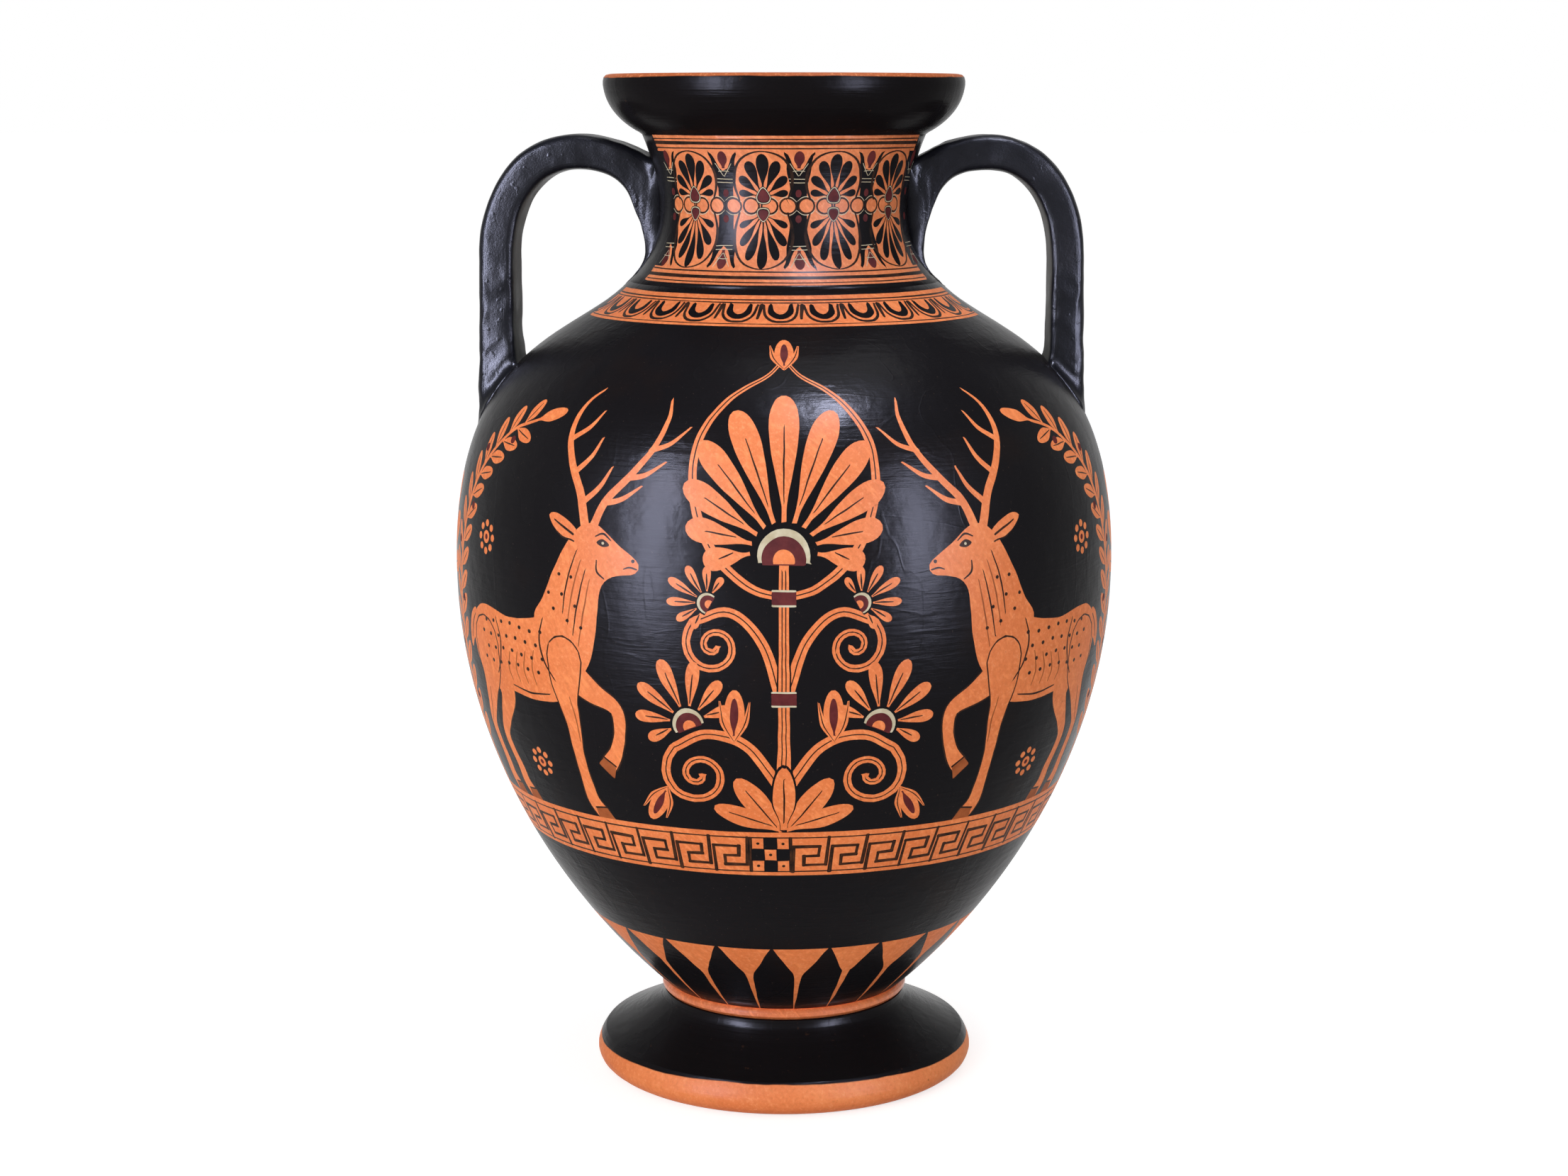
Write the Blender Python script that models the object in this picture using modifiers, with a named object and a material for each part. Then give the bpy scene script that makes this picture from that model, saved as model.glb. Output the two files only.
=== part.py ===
"""A two-handled clay amphora, built the way a potter builds it.

Mouth, neck, shoulder, belly, fillet and foot are turned sections that seat in one another with a
thin film of slip between them. Two strap handles arch from the neck to the shoulder.
Metres, +Z up, the foot stands on Z = 0 and the handles lie along X.
"""
import math

import bmesh
import bpy
from mathutils import Vector

# Heights of the stacked sections
FOOT_HEIGHT = 0.0350
FILLET_HEIGHT = 0.0050
BELLY_HEIGHT = 0.1944
SHOULDER_HEIGHT = 0.1250
NECK_HEIGHT = 0.0640
MOUTH_HEIGHT = 0.0260

# Outer radii
FOOT_RADIUS = 0.0858
STEM_RADIUS = 0.0552
FILLET_RADIUS = 0.0563
BELLY_RADIUS = 0.1470
COLLAR_RADIUS = 0.0686
NECK_TOP_RADIUS = 0.0625
MOUTH_RADIUS = 0.0795

# Walls and seats
BODY_WALL = 0.0070
NECK_WALL = 0.0065
LIP_WIDTH = 0.0080
LIP_EDGE = 0.0028
FLOOR_THICKNESS = 0.0100
LAP_HEIGHT = 0.0035
COLLAR_LIP = 0.0070
NECK_SPIGOT_WALL = 0.0042
NECK_SPIGOT_DEPTH = 0.0035
BASE_INSET = 0.0052
SOCKET_DEPTH = 0.0040
SLIP_FILM = 0.0003

# Foot moulding
FOOT_EDGE_HEIGHT = 0.0160
FOOT_EDGE_SET_BACK = 0.0033
FOOT_REST_SET_BACK = 0.0078
FOOT_REST_WIDTH = 0.0130
FOOT_HOLLOW_DEPTH = 0.0190

# Curvature of the neck, as how far its wall is drawn in below the top and above the collar
NECK_DRAW_TOP = 0.0090
NECK_DRAW_BASE = 0.0186

# Handles
HANDLE_THICKNESS = 0.0155
HANDLE_WIDTH = 0.0260
HANDLE_INSET = 0.0132
HANDLE_ARCH_HEIGHT = 0.0560
HANDLE_SPREAD = 0.0024
HANDLE_FLARE = 0.0050
ROOT_DROP = 0.0120
ROOT_PROUD = 0.0080
ROOT_TAPER = 0.55
LEFT_HANDLE_SKEW = math.radians(4.0)

# Fullness of the curves, as shares of the span that each curve bridges
SHOULDER_START = (0.311, 0.205)
SHOULDER_FULLNESS = 0.793
BELLY_FULLNESS = 0.578
BELLY_END = (0.114, 0.047)
MOUTH_FULLNESS = 0.690
NECK_DRAW_LEVELS = (0.328, 0.242)
CROWN_SWEEP = (0.62, 0.62)
ROOT_SWEEP = (0.70, 1.40)
ROOT_LEVEL = 0.40
CROWN_LEAD = 0.80
TRUMPET_LEVELS = (0.125, 0.333)
EDGE_BULGE = (0.667, 0.600)
HOLLOW_FULLNESS = 0.70
SECTION_SQUARENESS = 4.0

# Facets
TURN_STEPS = 48
OUTER_POINTS = 11
INNER_POINTS = 6
ROUND_POINTS = 8
LIP_POINTS = 4
SECTION_POINTS = 16
ARCH_SECTIONS = 8

# Levels worked out from the heights
FILLET_BOTTOM = FOOT_HEIGHT + SLIP_FILM
FILLET_TOP = FILLET_BOTTOM + FILLET_HEIGHT
BELLY_BOTTOM = FILLET_TOP + SLIP_FILM
WIDEST = BELLY_BOTTOM + BELLY_HEIGHT
COLLAR = WIDEST + SHOULDER_HEIGHT
NECK_TOP = COLLAR + NECK_HEIGHT
MOUTH_TOP = NECK_TOP + MOUTH_HEIGHT

# Radii of the seats
BASE_RADIUS = STEM_RADIUS - BASE_INSET
SOCKET_RADIUS = BASE_RADIUS + SLIP_FILM
COLLAR_BORE = COLLAR_RADIUS - COLLAR_LIP
NECK_SPIGOT_RADIUS = COLLAR_BORE - SLIP_FILM
NECK_SPIGOT_BORE = NECK_SPIGOT_RADIUS - NECK_SPIGOT_WALL
NECK_TOP_BORE = NECK_TOP_RADIUS - NECK_WALL


def clear_scene():
    for old in list(bpy.data.objects):
        bpy.data.objects.remove(old, do_unlink=True)


def new_collection(name):
    collection = bpy.data.collections.new(name)
    bpy.context.scene.collection.children.link(collection)
    return collection


def fired_material(name, colour, roughness):
    material = bpy.data.materials.new(name)
    material.use_nodes = True
    shader = material.node_tree.nodes["Principled BSDF"]
    shader.inputs["Base Color"].default_value = (*colour, 1.0)
    shader.inputs["Roughness"].default_value = roughness
    shader.inputs["Metallic"].default_value = 0.0
    return material


def bezier(start, lead, trail, end, count):
    """Points (radius, height) along one cubic curve, both ends included."""
    points = []
    for i in range(count):
        t = i / (count - 1)
        s = 1.0 - t
        weights = (s ** 3, 3 * s * s * t, 3 * s * t * t, t ** 3)
        corners = (start, lead, trail, end)
        points.append(tuple(sum(w * c[k] for w, c in zip(weights, corners)) for k in (0, 1)))
    return points


def offset(points, distance):
    """A profile that runs downwards, moved outwards by distance along its own normals."""
    moved = []
    last = len(points) - 1
    for i, (r, z) in enumerate(points):
        before = points[max(i - 1, 0)]
        after = points[min(i + 1, last)]
        dr = after[0] - before[0]
        dz = after[1] - before[1]
        length = math.hypot(dr, dz)
        moved.append((r - distance * dz / length, z + distance * dr / length))
    return moved


def level_point(points, height):
    """The point where a profile that runs downwards passes a given height."""
    for (r0, z0), (r1, z1) in zip(points, points[1:]):
        if z0 >= height >= z1:
            share = (z0 - height) / (z0 - z1)
            return (r0 + share * (r1 - r0), height)
    return (points[-1][0], height)


def mouth_outside(count):
    edge = (MOUTH_RADIUS, MOUTH_TOP - LIP_EDGE)
    root = (NECK_TOP_RADIUS, NECK_TOP + SLIP_FILM)
    lead = (MOUTH_RADIUS, edge[1] - MOUTH_FULLNESS * (edge[1] - root[1]))
    return bezier(edge, lead, root, root, count)


def neck_outside(count):
    top = (NECK_TOP_RADIUS, NECK_TOP)
    base = (COLLAR_RADIUS, COLLAR + SLIP_FILM)
    lead = (NECK_TOP_RADIUS - NECK_DRAW_TOP, NECK_TOP - NECK_DRAW_LEVELS[0] * NECK_HEIGHT)
    trail = (COLLAR_RADIUS - NECK_DRAW_BASE, COLLAR + NECK_DRAW_LEVELS[1] * NECK_HEIGHT)
    return bezier(top, lead, trail, base, count)


def shoulder_outside(count):
    top = (COLLAR_RADIUS, COLLAR)
    base = (BELLY_RADIUS, WIDEST + SLIP_FILM)
    span = BELLY_RADIUS - COLLAR_RADIUS
    lead = (top[0] + SHOULDER_START[0] * span, top[1] - SHOULDER_START[1] * SHOULDER_HEIGHT)
    trail = (BELLY_RADIUS, WIDEST + SHOULDER_FULLNESS * SHOULDER_HEIGHT)
    return bezier(top, lead, trail, base, count)


def belly_outside(count):
    top = (BELLY_RADIUS, WIDEST)
    base = (STEM_RADIUS, BELLY_BOTTOM)
    span = BELLY_RADIUS - STEM_RADIUS
    lead = (BELLY_RADIUS, WIDEST - BELLY_FULLNESS * BELLY_HEIGHT)
    trail = (base[0] + BELLY_END[0] * span, base[1] + BELLY_END[1] * BELLY_HEIGHT)
    return bezier(top, lead, trail, base, count)


def arc(centre, radii, start, end, count):
    """Points on an ellipse about centre, from angle start to angle end."""
    points = []
    for i in range(count):
        angle = start + (end - start) * i / (count - 1)
        points.append((centre[0] + radii[0] * math.cos(angle), centre[1] + radii[1] * math.sin(angle)))
    return points


def mouth_profile():
    """Rounded lip, cushion-shaped outside and a funnel that narrows to the neck's bore."""
    lip_inside = MOUTH_RADIUS - LIP_WIDTH
    edge = (LIP_EDGE, LIP_EDGE)
    level = MOUTH_TOP - LIP_EDGE
    outer_round = arc((MOUTH_RADIUS - LIP_EDGE, level), edge, math.pi / 2, 0.0, LIP_POINTS)
    inner_round = arc((lip_inside + LIP_EDGE, level), edge, math.pi, math.pi / 2, LIP_POINTS)
    seat = NECK_TOP + LAP_HEIGHT + SLIP_FILM
    drop = inner_round[0][1] - seat
    funnel = bezier(inner_round[0], (lip_inside, inner_round[0][1] - drop / 2),
                    (NECK_TOP_BORE, seat + drop / 2), (NECK_TOP_BORE, seat), INNER_POINTS)
    step = (NECK_TOP_RADIUS + NECK_TOP_BORE + SLIP_FILM) / 2
    rebate = [(step, NECK_TOP + SLIP_FILM), (step, seat)]
    return outer_round[:-1] + mouth_outside(OUTER_POINTS) + rebate + funnel[::-1] + inner_round[1:]


def neck_profile():
    """Concave throat with a tongue that carries the mouth and a spigot that drops into the collar."""
    outside = neck_outside(OUTER_POINTS)
    inside = offset(neck_outside(OUTER_POINTS), -NECK_WALL)
    throat = [p for p in inside[1:] if p[0] < NECK_SPIGOT_BORE and p[1] > COLLAR + SLIP_FILM]
    spigot_end = COLLAR - NECK_SPIGOT_DEPTH
    spigot = [(NECK_SPIGOT_RADIUS, COLLAR + SLIP_FILM), (NECK_SPIGOT_RADIUS, spigot_end),
              (NECK_SPIGOT_BORE, spigot_end)]
    step = (NECK_TOP_RADIUS + NECK_TOP_BORE - SLIP_FILM) / 2
    tongue = [(NECK_TOP_BORE, NECK_TOP + LAP_HEIGHT), (step, NECK_TOP + LAP_HEIGHT), (step, NECK_TOP)]
    return outside + spigot + throat[::-1] + tongue


def shoulder_profile():
    """Upper body section: a collar with a bore at the top, a rebated rim at the bottom."""
    outside = shoulder_outside(OUTER_POINTS)
    inside = offset(shoulder_outside(INNER_POINTS), -BODY_WALL)
    bore = BELLY_RADIUS - BODY_WALL
    step = BELLY_RADIUS - BODY_WALL / 2 + SLIP_FILM / 2
    seat = WIDEST + LAP_HEIGHT + SLIP_FILM
    rim = [(step, WIDEST + SLIP_FILM), (step, seat), (bore, seat)]
    vault = [p for p in inside if p[0] > COLLAR_BORE and p[1] > seat]
    return outside + rim + vault[::-1] + [(COLLAR_BORE, vault[0][1]), (COLLAR_BORE, COLLAR)]


def belly_profile():
    """Lower body section: a tongue round the rim, a floor, and a round base that sits in the foot."""
    outside = belly_outside(OUTER_POINTS)
    inside = offset(belly_outside(OUTER_POINTS), -BODY_WALL)
    base = FOOT_HEIGHT - SOCKET_DEPTH + SLIP_FILM
    floor = base + FLOOR_THICKNESS
    bowl = [p for p in inside[1::2] if p[1] > floor + FLOOR_THICKNESS / 2] + [level_point(inside, floor)]
    bore = BELLY_RADIUS - BODY_WALL
    step = BELLY_RADIUS - BODY_WALL / 2 - SLIP_FILM / 2
    tongue = [(bore, WIDEST + LAP_HEIGHT), (step, WIDEST + LAP_HEIGHT), (step, WIDEST)]
    spigot = [(BASE_RADIUS, BELLY_BOTTOM), (BASE_RADIUS, base), (0.0, base)]
    return outside + spigot + [(0.0, floor)] + bowl[::-1] + tongue


def fillet_profile():
    """Half-round ring, threaded over the body's base and resting on the foot."""
    half = FILLET_HEIGHT / 2
    middle = (FILLET_RADIUS - half, FILLET_BOTTOM + half)
    outside = arc(middle, (half, half), math.pi / 2, -math.pi / 2, ROUND_POINTS)
    return outside + [(SOCKET_RADIUS, FILLET_BOTTOM), (SOCKET_RADIUS, FILLET_TOP)]


def foot_profile():
    """Trumpet-shaped disc with a round edge, a socket on top and a hollow underneath."""
    socket = FOOT_HEIGHT - SOCKET_DEPTH
    edge_top = (FOOT_RADIUS - FOOT_EDGE_SET_BACK, FOOT_EDGE_HEIGHT)
    stem = (STEM_RADIUS, FOOT_HEIGHT)
    rise = FOOT_HEIGHT - FOOT_EDGE_HEIGHT
    lead = (STEM_RADIUS, FOOT_HEIGHT - TRUMPET_LEVELS[0] * rise)
    trail = (STEM_RADIUS - FOOT_EDGE_SET_BACK / 2, FOOT_HEIGHT - TRUMPET_LEVELS[1] * rise)
    trumpet = bezier(stem, lead, trail, edge_top, ROUND_POINTS)
    rest_outer = FOOT_RADIUS - FOOT_REST_SET_BACK
    bulge = FOOT_RADIUS + EDGE_BULGE[0] * FOOT_EDGE_SET_BACK
    lead = (bulge, EDGE_BULGE[1] * FOOT_EDGE_HEIGHT)
    edge = bezier(edge_top, lead, (bulge, 0.0), (rest_outer, 0.0), ROUND_POINTS)
    rest_inner = rest_outer - FOOT_REST_WIDTH
    lead = (rest_inner, HOLLOW_FULLNESS * FOOT_HOLLOW_DEPTH)
    trail = (HOLLOW_FULLNESS * rest_inner, FOOT_HOLLOW_DEPTH)
    hollow = bezier((rest_inner, 0.0), lead, trail, (0.0, FOOT_HOLLOW_DEPTH), INNER_POINTS)
    top = [(0.0, socket), (SOCKET_RADIUS, socket), (SOCKET_RADIUS, FOOT_HEIGHT)]
    return top + trumpet + edge[1:] + hollow


def core_profile():
    """Outside of the whole vessel, one film of slip larger, from the axis round to the axis."""
    wall = mouth_outside(OUTER_POINTS)
    wall = wall + neck_outside(OUTER_POINTS)
    wall = wall + shoulder_outside(OUTER_POINTS)
    wall = wall + belly_outside(OUTER_POINTS)
    grown = offset(wall, SLIP_FILM)
    return [(0.0, MOUTH_TOP)] + grown + [(0.0, BELLY_BOTTOM)]


def turned(name, profile, collection, material):
    """Spin a profile (radius, height) about the vertical axis."""
    mesh = bpy.data.meshes.new(name)
    vertices = [(r, 0.0, z) for r, z in profile]
    edges = [(i, i + 1) for i in range(len(profile) - 1)]
    ends_on_axis = profile[0][0] == 0.0 and profile[-1][0] == 0.0
    if not ends_on_axis:
        edges.append((len(profile) - 1, 0))
    mesh.from_pydata(vertices, edges, [])
    turned_object = bpy.data.objects.new(name, mesh)
    collection.objects.link(turned_object)
    screw = turned_object.modifiers.new("turn", "SCREW")
    screw.axis = "Z"
    screw.angle = math.tau
    screw.steps = TURN_STEPS
    screw.render_steps = TURN_STEPS
    screw.use_merge_vertices = True
    screw.merge_threshold = 0.00001
    screw.use_smooth_shade = True
    if material:
        mesh.materials.append(material)
    return turned_object


def handle_contours():
    """Outer and inner edge of a handle in its own plane, as matching lists of (x, z) points."""
    leg_outer = BELLY_RADIUS - HANDLE_INSET
    leg_inner = leg_outer - HANDLE_THICKNESS
    crown_x = (NECK_TOP_RADIUS + leg_inner) / 2
    crown = NECK_TOP
    under = crown - HANDLE_THICKNESS
    leg_top = crown - HANDLE_ARCH_HEIGHT
    waist = min(r for r, _ in neck_outside(OUTER_POINTS))
    root_top = crown - ROOT_DROP
    root_rise = under - COLLAR

    lead = (NECK_TOP_RADIUS, root_top + ROOT_DROP / 2)
    trail = (crown_x - CROWN_LEAD * HANDLE_THICKNESS, crown)
    outer = bezier((waist, root_top), lead, trail, (crown_x, crown), ARCH_SECTIONS)
    lead = (waist + ROOT_SWEEP[0] * ROOT_PROUD, COLLAR + ROOT_LEVEL * root_rise)
    trail = (waist + ROOT_SWEEP[1] * ROOT_PROUD, under)
    inner = bezier((COLLAR_RADIUS, COLLAR), lead, trail, (crown_x, under), ARCH_SECTIONS)

    sweep_out, sweep_down = CROWN_SWEEP
    lead = (crown_x + sweep_out * (leg_outer - crown_x), crown)
    trail = (leg_outer, leg_top + sweep_down * HANDLE_ARCH_HEIGHT)
    outer += bezier((crown_x, crown), lead, trail, (leg_outer, leg_top), ARCH_SECTIONS)[1:]
    lead = (crown_x + sweep_out * (leg_inner - crown_x), under)
    trail = (leg_inner, leg_top + sweep_down * (under - leg_top))
    inner += bezier((crown_x, under), lead, trail, (leg_inner, leg_top), ARCH_SECTIONS)[1:]

    wall = shoulder_outside(OUTER_POINTS * 2)
    landing_outer = next(z for r, z in wall if r > leg_outer + HANDLE_SPREAD)
    landing_inner = next(z for r, z in wall if r > leg_inner)
    below = HANDLE_THICKNESS / 2
    lead = (leg_outer, (leg_top + landing_outer) / 2)
    trail = (leg_outer + HANDLE_SPREAD / 2, landing_outer)
    end = (leg_outer + HANDLE_SPREAD, landing_outer - below)
    outer += bezier((leg_outer, leg_top), lead, trail, end, ARCH_SECTIONS)[1:]
    lead = (leg_inner, (leg_top + landing_inner) / 2)
    end = (leg_inner - HANDLE_SPREAD, landing_inner - below)
    inner += bezier((leg_inner, leg_top), lead, (leg_inner, landing_inner), end, ARCH_SECTIONS)[1:]
    return outer, inner


def handle_section(outer, inner, width, taper):
    """Soft-cornered strap section between two contour points, narrowed by taper at its inner edge."""
    middle = Vector(((outer[0] + inner[0]) / 2, 0.0, (outer[1] + inner[1]) / 2))
    reach = Vector(((outer[0] - inner[0]) / 2, 0.0, (outer[1] - inner[1]) / 2))
    points = []
    for i in range(SECTION_POINTS):
        angle = math.tau * i / SECTION_POINTS
        across = math.copysign(abs(math.cos(angle)) ** (2 / SECTION_SQUARENESS), math.cos(angle))
        along = math.copysign(abs(math.sin(angle)) ** (2 / SECTION_SQUARENESS), math.sin(angle))
        narrowing = 1.0 - taper * (1.0 - across) / 2
        points.append(middle + across * reach + Vector((0.0, along * narrowing * width / 2, 0.0)))
    return points


def handle_loft(name, collection, material):
    """Strap lofted from the tail on the neck, over the crown and down to the shoulder."""
    outer, inner = handle_contours()
    spans = ARCH_SECTIONS - 1
    landing = len(outer) - 1
    sections = []
    for i, (a, b) in enumerate(zip(outer, inner)):
        near_neck = max(0.0, 1.0 - i / spans)
        near_shoulder = max(0.0, 1.0 - (landing - i) / spans)
        width = HANDLE_WIDTH + HANDLE_FLARE * near_shoulder ** 2
        sections.append(handle_section(a, b, width, ROOT_TAPER * near_neck))
    inward = Vector((-HANDLE_THICKNESS, 0.0, 0.0))
    sections.insert(0, [p + inward for p in sections[0]])

    shape = bmesh.new()
    rings = [[shape.verts.new(p) for p in section] for section in sections]
    for lower, upper in zip(rings, rings[1:]):
        for i in range(SECTION_POINTS):
            j = (i + 1) % SECTION_POINTS
            shape.faces.new((lower[i], lower[j], upper[j], upper[i]))
    shape.faces.new(rings[0][::-1])
    shape.faces.new(rings[-1])
    bmesh.ops.recalc_face_normals(shape, faces=shape.faces)
    mesh = bpy.data.meshes.new(name)
    shape.to_mesh(mesh)
    shape.free()
    mesh.shade_smooth()
    mesh.materials.append(material)
    strap = bpy.data.objects.new(name, mesh)
    collection.objects.link(strap)
    return strap


def handle(name, azimuth, core, collection, material):
    """A strap handle, its two ends cut to saddle on the neck and on the shoulder."""
    strap = handle_loft(name, collection, material)
    strap.rotation_euler = (0.0, 0.0, azimuth)
    cut = strap.modifiers.new("saddle", "BOOLEAN")
    cut.operation = "DIFFERENCE"
    cut.solver = "EXACT"
    cut.object = core
    return strap


def main():
    clear_scene()
    parts = new_collection("amphora")
    cutters = new_collection("cutters")
    gloss = fired_material("black_gloss_slip", (0.012, 0.012, 0.014), 0.25)
    clay = fired_material("orange_clay", (0.62, 0.22, 0.08), 0.60)

    turned("mouth", mouth_profile(), parts, gloss)
    turned("neck", neck_profile(), parts, clay)
    turned("shoulder", shoulder_profile(), parts, gloss)
    turned("belly", belly_profile(), parts, gloss)
    turned("foot_fillet", fillet_profile(), parts, clay)
    turned("foot", foot_profile(), parts, gloss)

    core = turned("vessel_core", core_profile(), cutters, None)
    core.hide_render = True
    core.display_type = "WIRE"
    handle("handle_right", 0.0, core, parts, gloss)
    handle("handle_left", math.pi - LEFT_HANDLE_SKEW, core, parts, gloss)


main()
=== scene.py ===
"""Looks of a two-handled clay amphora: thrown walls, hand-set handles and brushed ornament.

Every painted shape is drawn as an outline on the unrolled wall, so its edge is real geometry.
The frame is in metres; the unrolled wall is in millimetres of height and radians of azimuth.
"""
import math
from math import radians

import bmesh
import bpy
import numpy as np
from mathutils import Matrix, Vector, noise
from mathutils.geometry import delaunay_2d_cdt


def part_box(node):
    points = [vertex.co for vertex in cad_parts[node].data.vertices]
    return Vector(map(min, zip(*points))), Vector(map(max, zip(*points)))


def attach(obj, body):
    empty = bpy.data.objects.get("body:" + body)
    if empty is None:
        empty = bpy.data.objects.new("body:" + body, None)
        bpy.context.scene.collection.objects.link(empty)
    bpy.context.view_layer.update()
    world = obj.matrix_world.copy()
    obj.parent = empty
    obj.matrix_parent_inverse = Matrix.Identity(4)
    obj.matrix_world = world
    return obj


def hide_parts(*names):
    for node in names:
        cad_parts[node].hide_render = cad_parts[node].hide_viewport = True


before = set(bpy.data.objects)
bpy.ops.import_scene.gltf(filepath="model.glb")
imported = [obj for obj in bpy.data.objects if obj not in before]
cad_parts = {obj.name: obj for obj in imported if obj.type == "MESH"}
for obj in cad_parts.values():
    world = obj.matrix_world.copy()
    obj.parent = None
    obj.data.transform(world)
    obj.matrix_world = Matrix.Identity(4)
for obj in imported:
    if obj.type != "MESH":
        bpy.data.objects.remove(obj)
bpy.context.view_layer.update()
MM = 0.001

# Camera of the photograph
CAMERA_DISTANCE = 1.2451
CAMERA_HEIGHT = 0.4376
CAMERA_PITCH = radians(9.87)
CAMERA_LENS = 64.03
SENSOR_WIDTH = 36.0

# Resolution of the modelled surfaces
AROUND = 288
PROFILE_STEP = 0.0016
INSIDE_STEP = PROFILE_STEP * 3
WALL_STEP = 0.0004
WALL_GRID_MM = 4.5
OUTLINE_STEP_MM = 2.2
FINE_STEP_MM = 0.7
OUTLINE_POINTS = 30
CORNER_ANGLE = radians(28.0)

# Tolerances of the meshes
WELD_DISTANCE = 2e-6
WELD_REACH = 3e-5
ON_WALL = 2e-5
WALL_RIM = 1e-4

# Unsteadiness of the painting hand, in millimetres
HAND_WOBBLE = 0.22
HAND_REACH = 6.0

# Paints, in the order of the wall's material slots
CLAY, SLIP, LINE, WASH, RED, CREAM, THIN = range(7)


# Profiles read from the frame
def node_path(node):
    """Section of a turned node at azimuth zero, as ordered (radius, height) points."""
    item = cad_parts[node]
    keys = {}
    for vertex in item.data.vertices:
        x, y, z = item.matrix_world @ vertex.co
        if abs(y) < 1e-6 and x > -1e-6:
            keys[vertex.index] = (round(max(x, 0.0), 6), round(z, 6))
    links = {}
    for edge in item.data.edges:
        a, b = edge.vertices
        if a in keys and b in keys and keys[a] != keys[b]:
            links.setdefault(keys[a], set()).add(keys[b])
            links.setdefault(keys[b], set()).add(keys[a])
    loose = sorted((p for p in links if len(links[p]) == 1), key=lambda p: p[1])
    start = loose[0] if loose else max(links, key=lambda p: (p[1], p[0]))
    path = [start]
    seen = {start}
    while True:
        options = sorted((p for p in links[path[-1]] if p not in seen), key=lambda p: -p[0])
        if not options:
            break
        path.append(options[0])
        seen.add(options[0])
    return path, not loose


def turn_angle(a, b, c):
    """Angle by which a path turns at the middle one of three points."""
    before = math.atan2(b[1] - a[1], b[0] - a[0])
    after = math.atan2(c[1] - b[1], c[0] - b[0])
    return abs((after - before + math.pi) % math.tau - math.pi)


def smooth_runs(path, closed):
    """Split a path at its corners into runs that are smooth curves."""
    count = len(path)
    corners = []
    for i in range(count):
        if not closed and i in (0, count - 1):
            corners.append(i)
        elif turn_angle(path[i - 1], path[i], path[(i + 1) % count]) > CORNER_ANGLE:
            corners.append(i)
    runs = []
    for a, b in zip(corners, corners[1:]):
        runs.append(path[a:b + 1])
    if closed:
        runs.append(path[corners[-1]:] + path[:corners[0] + 1])
    return runs


def run_lengths(points):
    """Distance along a path at each of its points."""
    steps = np.linalg.norm(np.diff(points, axis=0), axis=1)
    return np.concatenate(([0.0], np.cumsum(steps)))


def curve_through(points, step):
    """Even points along a smooth curve that passes through the given ones."""
    p = np.array(points, float)
    if len(p) == 2:
        count = max(2, int(np.linalg.norm(p[1] - p[0]) / (3 * step)) + 1)
        return p[0] + (p[1] - p[0]) * np.linspace(0, 1, count)[:, None]
    lengths = run_lengths(p)
    slopes = np.gradient(p, lengths, axis=0, edge_order=2)
    fine = np.linspace(0.0, lengths[-1], max(8, int(lengths[-1] / (step / 6))))
    index = np.clip(np.searchsorted(lengths, fine, side="right") - 1, 0, len(p) - 2)
    span = lengths[index + 1] - lengths[index]
    t = ((fine - lengths[index]) / span)[:, None]
    span = span[:, None]
    a = 2 * t ** 3 - 3 * t ** 2 + 1
    b = t ** 3 - 2 * t ** 2 + t
    c = -2 * t ** 3 + 3 * t ** 2
    d = t ** 3 - t ** 2
    dense = a * p[index] + b * span * slopes[index] + c * p[index + 1] + d * span * slopes[index + 1]
    along = run_lengths(dense)
    even = np.linspace(0.0, along[-1], max(3, int(along[-1] / step) + 1))
    out = np.stack([np.interp(even, along, dense[:, k]) for k in (0, 1)], axis=1)
    return np.clip(out, p.min(axis=0), p.max(axis=0))


PATHS = {}
for turned_name in ("mouth", "neck", "shoulder", "belly", "foot_fillet", "foot"):
    PATHS[turned_name] = node_path(turned_name)


def outer_run(node):
    """The run of a node's section that forms its outside."""
    runs = smooth_runs(*PATHS[node])
    return max(runs, key=lambda run: sum(math.dist(a, b) * (a[0] + b[0]) for a, b in zip(run, run[1:])))


def other_points(node, run):
    """The rest of a node's section, from the end of its outside round to the start of it."""
    path = PATHS[node][0]
    ends = path.index(run[-1]), path.index(run[0])
    count = len(path)
    forward = path[(ends[0] - 1) % count] == run[-2]
    step = 1 if forward else -1
    rest = []
    i = ends[0]
    while True:
        rest.append(path[i])
        if i == ends[1]:
            return rest
        i = (i + step) % count


class Wall:
    """Outside of a turned wall, unrolled: s is millimetres down from its top."""

    def __init__(self, points):
        if points[0][1] < points[-1][1]:
            points = points[::-1]
        dense = curve_through(points, WALL_STEP)
        self.r = dense[:, 0]
        self.z = dense[:, 1]
        self.s = run_lengths(dense) / MM
        tangent = np.gradient(dense, self.s, axis=0)
        tangent /= np.linalg.norm(tangent, axis=1)[:, None]
        self.nr = -tangent[:, 1]
        self.nz = tangent[:, 0]
        self.length = float(self.s[-1])

    def down_at(self, height):
        """Distance down the wall, in millimetres, of a height in metres."""
        return float(np.interp(-height, -self.z, self.s))

    def radius_mm(self, s):
        return np.interp(s, self.s, self.r) / MM

    def point(self, phi, s):
        return self.spun(self.r, self.z, phi, s)

    def normal(self, phi, s):
        return self.spun(self.nr, self.nz, phi, s)

    def spun(self, outward, upward, phi, s):
        """Vectors at azimuths and distances down, from their outward and upward parts."""
        out = np.interp(s, self.s, outward)
        return np.stack([out * np.sin(phi), -out * np.cos(phi), np.interp(s, self.s, upward)], axis=-1)


# Drawing on the unrolled wall
def heading(angle):
    return np.array([math.cos(angle), math.sin(angle)])


def sideways(direction):
    """A direction turned a quarter to the left."""
    return np.array([-direction[1], direction[0]])


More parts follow.
